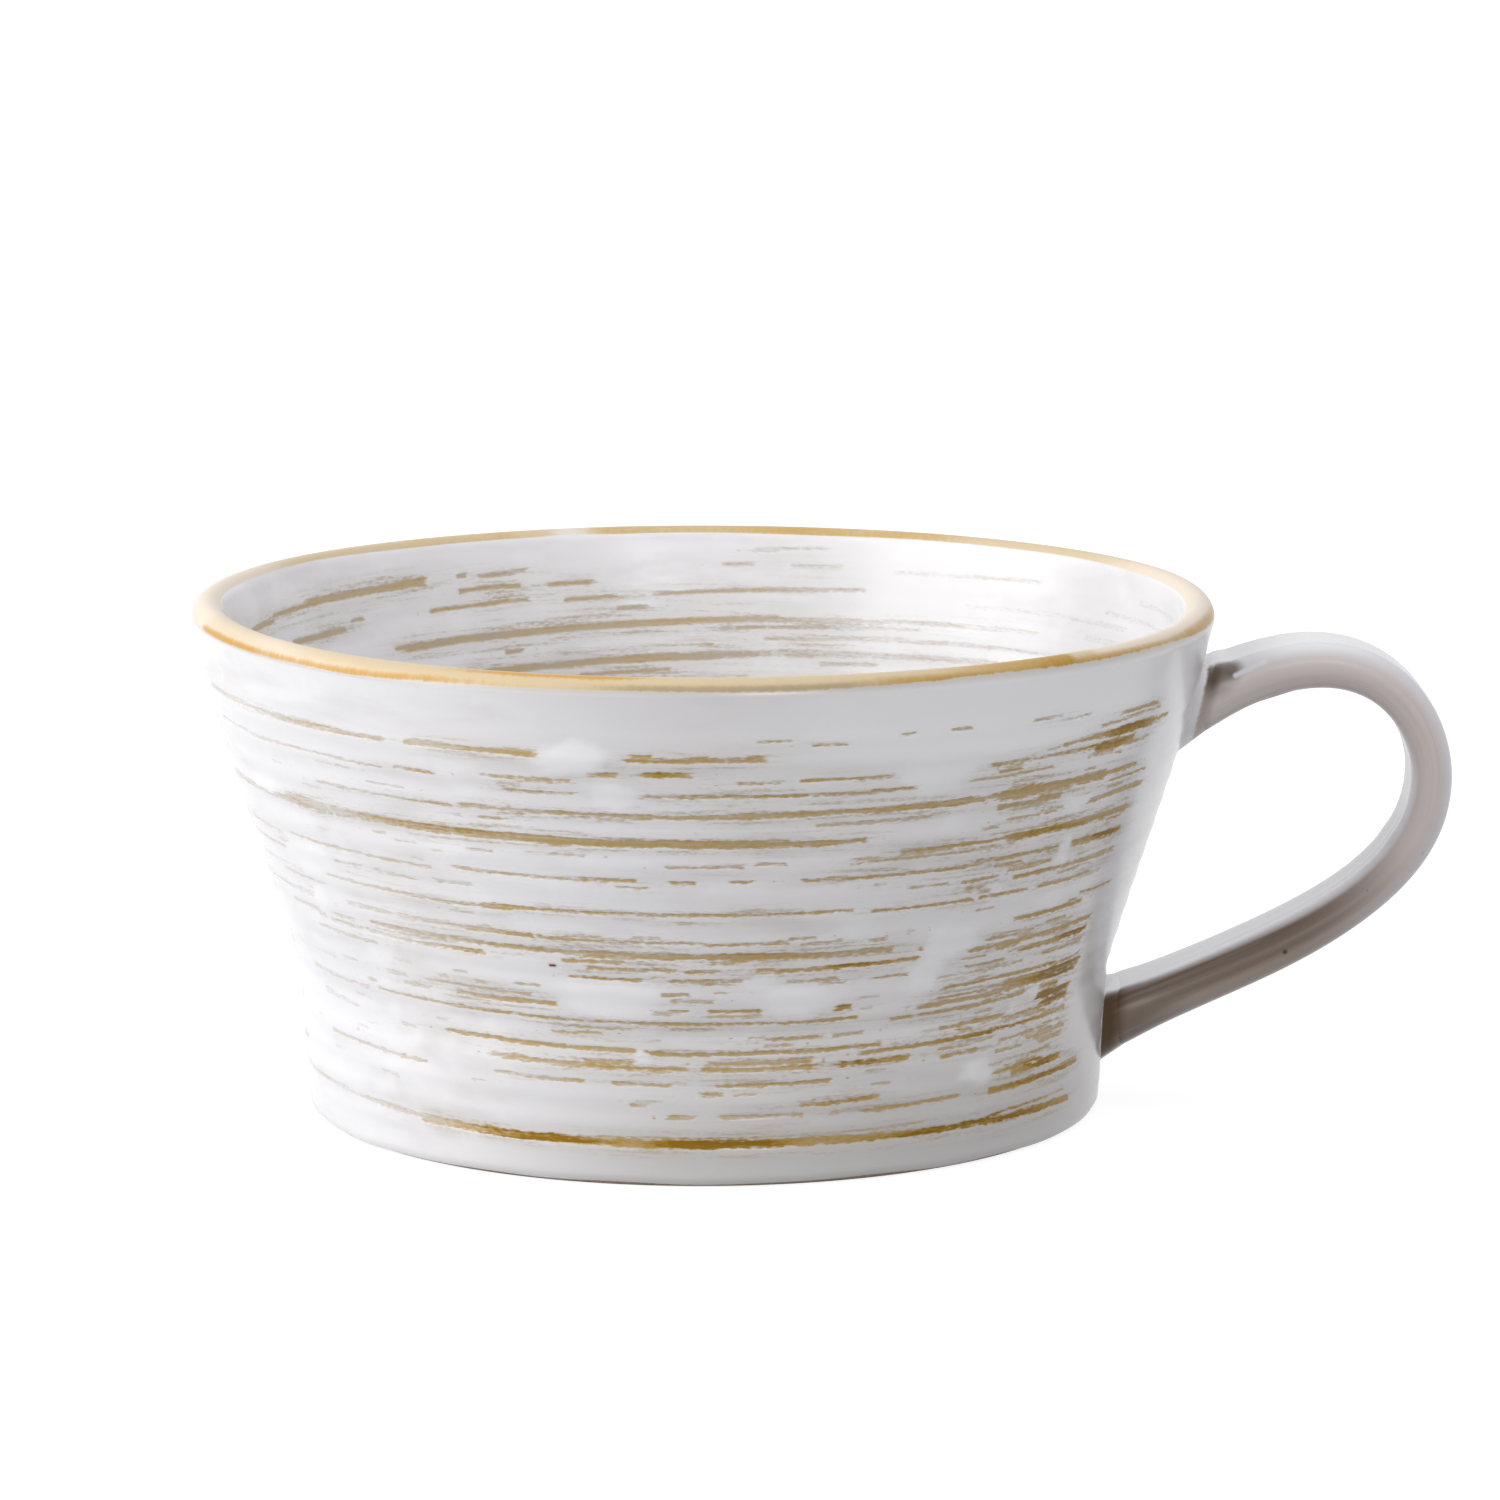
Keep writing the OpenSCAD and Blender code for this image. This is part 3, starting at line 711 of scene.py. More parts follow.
to_handle = np.sin(np.radians(angles))
front_and_right = ease(1 + 1.1 * to_handle)
on_collar = passing(COLLAR_FROM, COLLAR_TO)
# Painted shade goes in the field named thin, and painted light in the field named thick
thin = passing(FOOT_SHADE_TO, FOOT_SHADE_FROM) * (FOOT_SHADE + FOOT_SHADE_MORE * front_and_right)
thin += COLLAR_SHADE * on_collar * ease(1.1 - 1.2 * np.abs(to_handle))
thin += WALL_SHADE * passing(WALL_SHADE_TO, WALL_SHADE_FROM) * front_and_right
thick = on_collar * (COLLAR_LIGHT + COLLAR_LIGHT_MORE * ease((to_handle + 0.1) / 0.7))
over_lip = ease((along - outside_length) / lip_length)[:, None]
thin = thin * (1 - over_lip) + (INSIDE_SHADE + LIT_INSIDE_SHADE * lit_inside) * over_lip
thick = thick * (1 - over_lip) + INSIDE_LIGHT * over_lip


def spread(field):
    """A field blurred over a few millimetres, so that it tells where strokes are near."""
    for _ in range(NEAR_TIMES):
        field = sum(np.roll(field, shift, 1) for shift in range(-NEAR_COLUMNS, NEAR_COLUMNS + 1))
        field = field / (2 * NEAR_COLUMNS + 1)
        sums = np.cumsum(np.pad(field, ((NEAR_ROWS + 1, NEAR_ROWS), (0, 0)), mode="edge"), 0)
        field = (sums[2 * NEAR_ROWS + 1:] - sums[:-2 * NEAR_ROWS - 1]) / (2 * NEAR_ROWS + 1)
    return field


near = ease(spread(brushing) / NEAR_FULL) * (1 - pool)


def stretches(listed):
    """Level round the cup of a list of stretches, as written for the lip."""
    levels = np.zeros(COLUMNS)
    for start, stop, fade_in, fade_out, level in listed:
        since = (angles - start) % 360
        left = stop - start - since
        levels = np.maximum(levels, level * np.minimum(ease(since / fade_in), ease(left / fade_out)))
    return levels


# Ochre of the lip: where it shows, and where it is orange, dull, deep, pale, frayed or thinned to a warm grey
# halo, which is partly the glaze's own and partly painted shade over the bright curve under the lip
lip_turn = (lip_begin + np.degrees((along - outside_length) / LIP_R))[:, None]
ochre_from = LIP_OCHRE_FROM - LIP_LOWER_BY * stretches(LIP_LOWER) + LIP_HIGHER_BY * stretches(LIP_HIGHER)
ochre_from += ripple(angles, (1, 2, 5, 9, 17), LIP_FROM_WAVE)
ochre_to = LIP_OCHRE_TO + ripple(angles, (1, 3, 7, 13), LIP_TO_WAVE)
ochre = ease((lip_turn - ochre_from) / LIP_OCHRE_SOFT) * ease((ochre_to - lip_turn) / LIP_OCHRE_SOFT)
ochre *= 1 - LIP_GAP * np.exp(-(turned(angles - LIP_GAP_ANGLE) / LIP_GAP_HALF) ** 2)
halo_w = np.maximum(ochre_from + LIP_OCHRE_SOFT / 2 - lip_begin, LIP_HALO_LEAST)
halo_and_shade = ease((lip_turn - lip_begin) / halo_w)
outer_edge = np.exp(-((lip_turn - ochre_from - LIP_EDGE) / LIP_EDGE) ** 2)
outer_half = ease((LIP_OUTER_TO - lip_turn) / LIP_OUTER_SOFT)
crown = np.exp(-((lip_turn - LIP_CROWN) / LIP_EDGE) ** 2)
hot = np.maximum(outer_edge * stretches(LIP_HOT_EDGE), crown * stretches(LIP_HOT_CROWN))
dull = outer_edge * stretches(LIP_DULL_EDGE)
deep = np.maximum(stretches(LIP_DEEP), outer_half * stretches(LIP_GOLD_EDGE))
pale = stretches(LIP_PALE)
frayed = ease((LIP_FRAYED_TO - lip_turn) / LIP_FRAYED_SOFT)

# Relief: throwing rings and soft lumps that fade towards lip and foot, sunken strokes and raised drops
calm = ease((CUP_H - CALM_BELOW_RIM - profile[:, 1]) / CALM_SOFT) * ease(profile[:, 1] / CALM_FOOT)
ring_turns = 2 * math.pi * heights[:, None] / RING_PITCH + np.radians(angles)
rings = np.sin(ring_turns + ripple(angles, (2, 3, 5), 0.5))
lump_phases = random.uniform(0, 6, len(LUMP_PITCHES))
lumps = sum(
    np.sin(heights / pitch * 2 * math.pi + phase)[:, None] * ripple(angles, (2, 3, 4, 7), 1)
    for pitch, phase in zip(LUMP_PITCHES, lump_phases))
relief = calm[:, None] * (RING_DEPTH * rings + LUMP_HEIGHT * lumps)
relief += POOL_HEIGHT * pool - STREAK_DEPTH * ease(STREAK_STEEP * brushing)
relief -= LIP_SINK * (1 - calm[:, None]) * (1 + ripple(angles, (2, 3, 5, 8), 0.5))
relief -= EDGE_SINK * np.clip(1 - along / EDGE_W, 0, 1)[:, None] ** 2
relief[outside] -= NECK_DEPTH * np.exp(-((profile[outside, 1:] - NECK_Z) / NECK_W) ** 2)
foot_wave = ripple(angles, (3, 7, 12, 19), FOOT_WAVE) * np.clip(1 - along / PLAIN_FOOT, 0, 1)[:, None]


def dip(height):
    """How far the rim hangs below its level at each height and column."""
    return DIP_DEPTH * facing(*DIPPED_SIDE) * ease((height - DIP_FROM) / (DIP_TO - DIP_FROM))


def lathed(radius, height):
    """Points round the axis for a radius and a height at each row and column."""
    turn = np.radians(angles)
    return np.stack(np.broadcast_arrays(radius * np.sin(turn), -radius * np.cos(turn), height), -1)


def normals_of(grid):
    """Unit normals of a grid of points whose columns close on themselves."""
    up = np.gradient(grid, axis=0)
    around = np.roll(grid, -1, 1) - np.roll(grid, 1, 1)
    normals = np.cross(around, up)
    return normals / np.maximum(np.linalg.norm(normals, axis=2, keepdims=True), 1e-15)


bowl = lathed(
    profile[:, :1] + relief * leans[:, :1],
    profile[:, 1:] + relief * leans[:, 1:] + foot_wave - dip(profile[:, 1:]))
bowl_normals = normals_of(bowl)
bowl_fields = {
    "streak": streak, "reach": reach, "force": force, "near": near, "dark": dark, "pool": pool,
    "thin": thin, "thick": thick, "ochre": ochre, "hot": hot, "dull": dull, "deep": deep, "pale": pale,
    "frayed": frayed, "halo_and_shade": halo_and_shade, "along": along[:, None]}


# Pieces: closed skins and solids over a grid of rows and columns
def add_object(name, data):
    made = bpy.data.objects.new(name, data)
    bpy.context.scene.collection.objects.link(made)
    return made


def add_piece(name, points, faces, fields, normals):
    """A smooth piece, with a normal and its fields at each point."""
    mesh = bpy.data.meshes.new(name)
    mesh.from_pydata(points.reshape(-1, 3).tolist(), [], faces)
    mesh.shade_smooth()
    for field, values in fields.items():
        stored = mesh.attributes.new(field, "FLOAT", "POINT").data
        stored.foreach_set("value", np.broadcast_to(values, points.shape[:2]).ravel().astype(np.float32))
    mesh.normals_split_custom_set_from_vertices(normals.reshape(-1, 3).tolist())
    return add_object(name, mesh)


def loop_faces(rows, columns):
    """Quads between neighbouring rows, the last row and the first among them."""
    numbers = np.arange(rows * columns).reshape(rows, columns)
    above_it = np.roll(numbers, -1, 0)
    corners = [numbers, np.roll(numbers, -1, 1), np.roll(above_it, -1, 1), above_it]
    return np.stack(corners, -1)


def loop_map(front, back, columns):
    """Places of those quads on a flat map.

    The front takes most of the map, and the back and the ends a narrow strip.
    """
    front_v = MAP_EDGE + (1 - MAP_EDGE) * (front - front[0]) / (front[-1] - front[0])
    back_v = np.linspace(MAP_BACK, 0, back)
    low = np.concatenate([front_v[:-1], MAP_ENDS[:1], back_v[:-1], MAP_ENDS[:1]])
    high = np.concatenate([front_v[1:], MAP_ENDS[1:], back_v[1:], MAP_ENDS[1:]])
    left, low = np.meshgrid(np.arange(columns) / columns, low)
    right, high = np.meshgrid(np.arange(1, columns + 1) / columns, high)
    corners = [(left, low), (right, low), (right, high), (left, high)]
    return np.stack([np.stack(corner, -1) for corner in corners], 2)


def add_skin(name, grid, normals, fields, rows, centre_closed=False):
    """A thin closed piece: the grid's surface, and a plainer back at a depth under it."""
    count, columns = grid.shape[:2]
    kept = np.unique(np.linspace(0, count - 1, BACK_ROWS).round().astype(int))[::-1]
    both = np.concatenate([np.arange(count), kept])
    points = np.concatenate([grid, grid[kept] - COAT_T * normals[kept]])
    faces = loop_faces(count + len(kept), columns)
    places = loop_map(rows, len(kept), columns)
    caps = []
    if centre_closed:
        inner = faces[count - 1]
        caps = [inner[:, 0].tolist(), inner[::-1, 3].tolist()]
        faces = np.delete(faces, count - 1, 0)
        places = np.delete(places, count - 1, 0)
    piece = add_piece(
        name, points, faces.reshape(-1, 4).tolist() + caps,
        {field: np.broadcast_to(values, grid.shape[:2])[both] for field, values in fields.items()},
        np.concatenate([normals, -normals[kept]]))
    cap_places = np.full((sum(map(len, caps)), 2), MAP_CAPS)
    map_places = np.concatenate([places.reshape(-1, 2), cap_places])
    bake_map = piece.data.uv_layers.new(name="OFBake")
    bake_map.uv.foreach_set("vector", map_places.ravel().astype(np.float32))
    return piece


def bowl_coat(name, first, last, **more):
    part = slice(first, last)
    fields = {field: np.broadcast_to(values, streak.shape)[part] for field, values in bowl_fields.items()}
    return add_skin(name, bowl[part], bowl_normals[part], fields, along[part], **more)


outer_coat = bowl_coat("outer_coat", 0, outside_count)
lip_coat = bowl_coat("lip_coat", outside_count - 1, lip_end)
inner_coat = bowl_coat("inner_coat", lip_end - 1, len(along), centre_closed=True)

# Clay bowl under the coats, with turning marks on its foot
clay_wall = wall_line(GLAZE_T)
ring_out_r = np.interp(0, clay_wall[:, 1], clay_wall[:, 0])
ring_in_r = ring_out_r - RING_W
edge_top_r = np.interp(EDGE_TOP_Z, clay_wall[:, 1], clay_wall[:, 0])
under_corners = [
    (0, RECESS_H), (ring_in_r - RECESS_H, RECESS_H), (ring_in_r, 0), (ring_out_r, 0),
    (edge_top_r, EDGE_TOP_Z)]
under_path = rounded([np.array(corner) for corner in under_corners], [RING_EDGE_R] * 3)
clay_path = np.concatenate([
    under_path, above(clay_wall, EDGE_TOP_Z)[1:], lip_line(LIP_R - GLAZE_T)[1:],
    bowl_line(WALL_T - GLAZE_T, FLOOR_Z - GLAZE_T, FLOOR_BEND_R + GLAZE_T)[::-1][1:]])
under_length = lengths_along(under_path)[-1]
clay_length = lengths_along(clay_path)[-1]
clay_rows = rows_of([CENTRE_R, under_length, clay_length - CENTRE_R], [TURNING_ROW, CLAY_ROW])
clay_profile = placed(clay_path, clay_rows)
clay_ways = ways_along(clay_profile, clay_rows)
turns = 2 * math.pi * clay_rows[:, None]
turning = np.sin(turns / TURNING_PITCH + np.radians(angles))
turning += TURNING_WEAKER * np.sin(turns / (TURNING_LONGER * TURNING_PITCH) - ripple(angles, (1, 2, 3), 0.6))
off_table = ease((clay_profile[:, 1] - TURNING_FROM_Z) / TURNING_SOFT)
under_cup = ease((under_length - clay_rows) / TURNING_END)
cuts = TURNING_DEPTH * (turning - (1 + TURNING_WEAKER)) * (off_table * under_cup)[:, None]
clay_bowl = lathed(
    clay_profile[:, :1] + cuts * clay_ways[:, 1:],
    clay_profile[:, 1:] - cuts * clay_ways[:, :1] - dip(clay_profile[:, 1:]))


def add_solid(name, grid, fields):
    """A closed piece through a grid whose first and last rows are small rings on the axis."""
    count, columns = grid.shape[:2]
    faces = loop_faces(count, columns)[:-1].reshape(-1, 4).tolist()
    faces.append(np.arange(columns)[::-1].tolist())
    faces.append(((count - 1) * columns + np.arange(columns)).tolist())
    return add_piece(name, grid, faces, fields, normals_of(grid))


clay_body = add_solid("clay_body", clay_bowl, {"along": clay_rows[:, None]})

# Strap handle: two curves in x and z from the roots to the tip, and a rounded section
tip = np.array([TIP_X, TIP_Z])


def strap_curve(root_z, root_angle, pull, tip_pull):
    root = np.array([np.interp(root_z, outside_z, outside_r), root_z])
    return np.array([root, root + pull * polar(root_angle), tip + tip_pull * np.array([0, 1]), tip])


# Each half of the strap: its curve, the side of it that lies out of the loop, and the thickness at its root
strap_ends = [
    (strap_curve(UPPER_ROOT_Z, UPPER_ROOT_ANGLE, UPPER_PULL, TIP_UP_PULL), 1, UPPER_ROOT_T),
    (strap_curve(LOWER_ROOT_Z, LOWER_ROOT_ANGLE, LOWER_PULL, -TIP_DOWN_PULL), -1, LOWER_ROOT_T)]


def bezier(c, u):
    return (1 - u) ** 3 * c[0] + 3 * (1 - u) ** 2 * u * c[1] + 3 * (1 - u) * u ** 2 * c[2] + u ** 3 * c[3]


def bezier_way(c, u):
    return unit((1 - u) ** 2 * (c[1] - c[0]) + 2 * (1 - u) * u * (c[2] - c[1]) + u ** 2 * (c[3] - c[2]))


def section(w, t, grow=0):
    """Outline of the strap as its own two axes, across and out of the loop, at even steps round it."""
    edge_r = min(STRAP_EDGE_R, CORNER_SHARE * t)
    outline = []
    for side, out, first in ((1, 1, 0), (-1, 1, 90), (-1, -1, 180), (1, -1, 270)):
        corner = np.array([side * (w / 2 - edge_r), out * (t / 2 - edge_r)])
        turns_here = [first + 90 * k / CORNER_STEPS for k in range(CORNER_STEPS + 1)]
        outline += [corner + (edge_r + grow) * polar(turn) for turn in turns_here]
    outline = np.array(outline + outline[:1])
    total = lengths_along(outline)[-1]
    return placed(outline, np.arange(SECTION_POINTS) * total / SECTION_POINTS)


def ring(centre, way, outline):
    out = left_of(way)
    return np.stack([
        centre[0] + out[0] * outline[:, 1], outline[:, 0], centre[1] + out[1] * outline[:, 1]], 1)


def to_wall(points, way):
    """How far along a way each point has to go to meet the glazed wall, found by halving."""
    low = np.full(len(points), -SEARCH_L)
    high = np.full(len(points), SEARCH_L)
    for _ in range(SEARCH_STEPS):
        middle = (low + high) / 2
        moved = points + middle[:, None] * way
        beyond = np.hypot(moved[:, 0], moved[:, 1]) > np.interp(moved[:, 2], outside_z, outside_r)
        high = np.where(beyond, middle, high)
        low = np.where(beyond, low, middle)
    return (low + high) / 2


def leaving(curve):
    way = unit(curve[1] - curve[0])
    return np.array([way[0], 0, way[1]])


def end_rings(curve, side, root_t):
    """Rings from just under the wall, up the fillet and along the curve to the tip."""
    way = leaving(curve)

    def root_ring(grow, lift):
        points = ring(curve[0], side * way[[0, 2]], section(ROOT_W, root_t, grow))
        return points + (to_wall(points, way) + lift)[:, None] * way

    at_root = [root_ring(FILLET_R + ROOT_SINK, -ROOT_SINK)]
    for k in range(FILLET_STEPS + 1):
        a = math.radians(90 * k / FILLET_STEPS)
        at_root.append(root_ring(FILLET_R * (1 - math.sin(a)), FILLET_H * (1 - math.cos(a))))
    clear = root_t * CLEAR_SHARE + FILLET_H + CLEAR_MORE
    tries = np.linspace(0, 1, CLEAR_TRIES)
    first_u = next(u for u in tries if np.linalg.norm(bezier(curve, u) - curve[0]) > clear)
    on_curve = []
    for u in np.linspace(first_u, 1, CURVE_STEPS + 1):
        flare = (1 - u) ** 2
        outline = section(STRAP_W + (ROOT_W - STRAP_W) * flare, STRAP_T + (root_t - STRAP_T) * flare)
        on_curve.append(ring(bezier(curve, u), side * bezier_way(curve, u), outline))
    gap = np.linalg.norm(on_curve[0] - at_root[-1], axis=1)[:, None]
    onward = on_curve[1] - on_curve[0]
    onward = onward / np.linalg.norm(onward, axis=1)[:, None]
    arms = (at_root[-1], at_root[-1] + gap / 3 * way, on_curve[0] - gap / 3 * onward, on_curve[0])
    joining = [bezier(arms, share) for share in np.linspace(0, 1, JOIN_STEPS + 2)[1:-1]]
    return at_root + joining + on_curve


upper_rings, lower_rings = (end_rings(*end) for end in strap_ends)
strap = np.array(upper_rings + lower_rings[-2::-1])
strap_along = lengths_along(strap.mean(1))
strap_share = strap_along[:, None] / strap_along[-1]
strap_outline = section(STRAP_W, STRAP_T)
strap_side = ease((np.abs(strap_outline[:, 0]) / (STRAP_W / 2) - SIDE_FROM) / SIDE_SOFT)
strap_turn = strap_outline[:, 1] / (STRAP_T / 2)
from_roots = [-np.array([to_wall(r, leaving(curve)) for r in strap]) for curve, _, _ in strap_ends]
from_wall = np.minimum(*from_roots)
strap_round = 2 * math.pi * (np.arange(SECTION_POINTS) / SECTION_POINTS)
pull_marks = np.sin(strap_round * PULL_MARKS) + 0.7 * np.sin(strap_round * FINE_PULL_MARKS + 1)
swells = np.sin(strap_along / SWELL_L) + 0.8 * np.sin(strap_along / SHORT_SWELL_L + 2)
fade = ease((from_wall - PULL_FROM) / PULL_SOFT)
strap_relief = fade * (PULL_DEPTH * (pull_marks - 1.2) + SWELL_HEIGHT * (swells[:, None] - 1.8))
upper_break = UPPER_BREAK_AT + UPPER_BREAK_MORE * (1 - strap_turn) / 2
past_break = from_wall - np.where(strap_share < LOWER_FROM, upper_break, LOWER_BREAK_AT)
strap_relief -= BREAK_DEPTH * np.exp(-(past_break / BREAK_W) ** 2)
strap = strap + strap_relief[..., None] * normals_of(strap)
strap_fields = {
    "along": strap_along[:, None], "side": strap_side, "turn": strap_turn, "past_break": past_break / MM,
    "lower": ease((strap_share - LOWER_FROM) / LOWER_SOFT)}
handle_coat = add_skin("handle_coat", strap, normals_of(strap), strap_fields, strap_along)


# Materials
def srgb(red, green, blue):
    """A colour in the usual steps from 0 to 255, as a shader takes it."""
    return (*(((step / 255 + 0.055) / 1.055) ** 2.4 for step in (red, green, blue)), 1)


class Nodes:
    """Short calls for the nodes of a material or of the world."""

    def __init__(self, owner):
        owner.use_nodes = True
        self.tree = owner.node_tree
        self.tree.nodes.clear()

    def node(self, kind, inputs=None, **settings):
        made = self.tree.nodes.new("ShaderNode" + kind)
        for name, value in settings.items():
            setattr(made, name, value)
        for key, value in (inputs or {}).items():
            self.feed(made.inputs[key], value)
        return made

    def feed(self, socket, value):
        if isinstance(value, bpy.types.NodeSocket):
            self.tree.links.new(value, socket)
        else:
            socket.default_value = value

    def calc(self, operation, *values):
        return self.node("Math", dict(enumerate(values)), operation=operation).outputs[0]

    def times(self, product, *factors):
        for factor in factors:
            product = self.calc("MULTIPLY", product, factor)
        return product

    def seen_rays(self):
        """1 for the rays that show the surroundings: those from the camera, reflections and glass."""
        rays = self.node("LightPath").outputs
        seen = rays["Is Camera Ray"]
        for name in ("Is Glossy Ray", "Is Transmission Ray"):
            seen = self.calc("MAXIMUM", seen, rays[name])
        return seen


class Paint(Nodes):
    """A material under way: its shader, and short calls for what feeds it."""

    def __init__(self, name):
        self.material = bpy.data.materials.new(name)
        super().__init__(self.material)
        self.shader = self.node("BsdfPrincipled")
        self.node("OutputMaterial", {"Surface": self.shader.outputs[0]})
        self.place = self.node("TexCoord").outputs["Object"]
        parts = self.node("SeparateXYZ", {0: self.place}).outputs
        self.brush = self.node("CombineXYZ", {0: parts[0], 1: parts[1], 2: self.field("along")}).outputs[0]

    def field(self, name):
        return self.node("Attribute", attribute_name=name).outputs["Fac"]

    def total(self, *terms):
        """Sum of terms, each a value or a pair of a value and its weight."""
        weighed = [self.times(*term) if isinstance(term, tuple) else term for term in terms]
        made = weighed[0]
        for term in weighed[1:]:
            made = self.calc("ADD", made, term)
        return made

    def smooth(self, value, low, high):
        limits = {"Value": value, "From Min": low, "From Max": high}
        return self.node("MapRange", limits, interpolation_type="SMOOTHSTEP").outputs[0]

    def vectors(self, operation, first, second):
        return self.node("VectorMath", {0: first, 1: second}, operation=operation)

    def apart(self, first, second):
        return self.vectors("DISTANCE", first, second).outputs["Value"]

    def noise(self, place, scales, detail=2.0):
        """Noise about its middle, from -0.5 to 0.5, with its own scale along each axis."""
        stretched = self.vectors("MULTIPLY", place, scales).outputs[0]
        made = self.node("TexNoise", {"Vector": stretched, "Scale": 1.0, "Detail": detail})
        return self.calc("SUBTRACT", made.outputs["Fac"], 0.5)

    def mix(self, share, first, second):
        made = self.node("Mix", {0: share, 6: first, 7: second}, data_type="RGBA")
        return made.outputs[2]

    def ramp(self, value, *stops):
        """Colours along a scale, each stop a place and a colour."""
        made = self.node("ValToRGB", {"Fac": value})
        elements = made.color_ramp.elements
        while len(elements) < len(stops):
            elements.new(1)
        for element, (position, colour) in zip(elements, stops):
            element.position = position
            element.color = colour
        return made.outputs["Color"]

    def spot(self, point, radius, core=0.5):
        """1 inside a ball round a point, fading to 0 at its surface."""
        return self.smooth(self.apart(self.place, point), radius, core * radius)

    def stripe(self, start, stop, radius):
        """1 along the line between two points, fading to 0 at a distance from it."""
        line = Vector(stop) - Vector(start)
        ahead = self.vectors("SUBTRACT", self.place, start).outputs[0]
        dot = self.vectors("DOT_PRODUCT", ahead, line).outputs["Value"]
        share = self.node("Math", {0: dot, 1: 1 / line.length_squared}, operation="MULTIPLY", use_clamp=True)
        nearest = self.node("VectorMath", {0: line, "Scale": share.outputs[0]}, operation="SCALE").outputs[0]
        return self.smooth(self.apart(ahead, nearest), radius, 0.2 * radius)

    def specks(self, scale, share, radius):
        """Small round specks at random: so many to a metre, the share of them that show, and their radius."""
        cells = self.node("TexVoronoi", {"Vector": self.place, "Scale": scale}).outputs
        lot = self.node("SeparateColor", {0: cells["Color"]}).outputs[0]
        dot = self.smooth(cells["Distance"], radius * scale, 0.4 * radius * scale)
        return self.times(self.calc("GREATER_THAN", lot, 1 - share), dot)

    def finish(self, colour, roughness, height, depth, gloss=0.5):
        """The finished material, with its fine relief as a height and the depth that this stands for."""
        bump = self.node("Bump", {"Height": height, "Distance": depth})
        inputs = {"Base Color": colour, "Roughness": roughness, "Specular IOR Level": gloss,
                  "Normal": bump.outputs[0]}
        for name, value in inputs.items():
            self.feed(self.shader.inputs[name], value)
        return self.material


# Scales of the noises, as features to a metre along each axis. A brushed place has the length up the wall as
# its third axis, so a large third scale makes lines round the cup.
TINT = (25, 25, 25)
CLOUD = (60, 60, 260)
PUFFS = (150, 150, 190)
DIMPLES = (420, 420, 420)
LOBES = (260, 260, 420)
FINE_LOBES = (800, 800, 1100)
BRISTLES = (90, 90, 3200)
GRAIN = (1400, 1400, 4600)
BREAKS = (70, 70, 950)
GHOSTS = (120, 120, 2100)
LIP_RUNS = (1900, 1900, 420)
LIP_CLOUD = (70, 70, 300)
LIP_PATCHES = (230, 230, 230)
PULLED = (26, 640, 420)
FINE_PULLED = (70, 2600, 1500)
SAND = (2600, 2600, 2600)
CLAY_CLOUD = (130, 130, 130)
TURNED = (35, 35, 1100)
# Depths of the fine relief
BRUSHED_DEPTH = 0.035 * MM
LIP_DEPTH = 0.05 * MM
STRAP_DEPTH = 0.04 * MM
CLAY_DEPTH = 0.09 * MM

WHITE_COOL = srgb(239, 239, 243)
WHITE_WARM = srgb(241, 239, 240)
WHITE_THIN_AND_SHADE = srgb(207, 204, 203)
WHITE_THICK_AND_LIGHT = srgb(248, 248, 250)
IRON = srgb(84, 56, 34)
IRON_DARK = srgb(48, 31, 22)
RUST = srgb(214, 152, 84)
OCHRE_GREY = srgb(180, 167, 149)
OCHRE_TAN = srgb(195, 177, 146)
OCHRE_GOLD = srgb(190, 163, 114)
OCHRE_DEEP = srgb(177, 142, 68)
OCHRE_BROWN = srgb(145, 108, 20)
# The large iron speck on the front: height, angles of its ends, and radius
SPECK_HEIGHT = 22.5 * MM
SPECK_ANGLES = (-19.3, -18.7)
SPECK_R = 0.22 * MM


def white_glaze(paint):
    """Colour of the white glaze, cloudy where it is thin, and the fine dimples of its surface."""
    tint = paint.noise(paint.place, TINT)
    cloud = paint.noise(paint.brush, CLOUD, 3)
    puffs = paint.noise(paint.place, PUFFS, 3)
    white = paint.mix(paint.smooth(tint, -0.2, 0.2), WHITE_COOL, WHITE_WARM)
    white = paint.mix(paint.times(paint.smooth(cloud, -0.05, 0.25), 0.5), white, WHITE_THIN_AND_SHADE)
    white = paint.mix(paint.times(paint.smooth(puffs, 0.02, 0.22), 0.55), white, WHITE_THICK_AND_LIGHT)
    white = paint.mix(paint.times(paint.specks(95, 0.025, 0.1 * MM), 0.5), white, IRON)
    return white, paint.noise(paint.place, DIMPLES)


def bowl_white(paint):
    """The white of the bowl, darker where shade is painted and brighter where light is painted."""
    white, dimples = white_glaze(paint)
    white = paint.mix(paint.field("thin"), white, WHITE_THIN_AND_SHADE)
    return paint.mix(paint.field("thick"), white, WHITE_THICK_AND_LIGHT), dimples


def on_outside(height, degrees):
    radius = np.interp(height, outside_z, outside_r)
    return (radius * math.sin(math.radians(degrees)), -radius * math.cos(math.radians(degrees)), height)


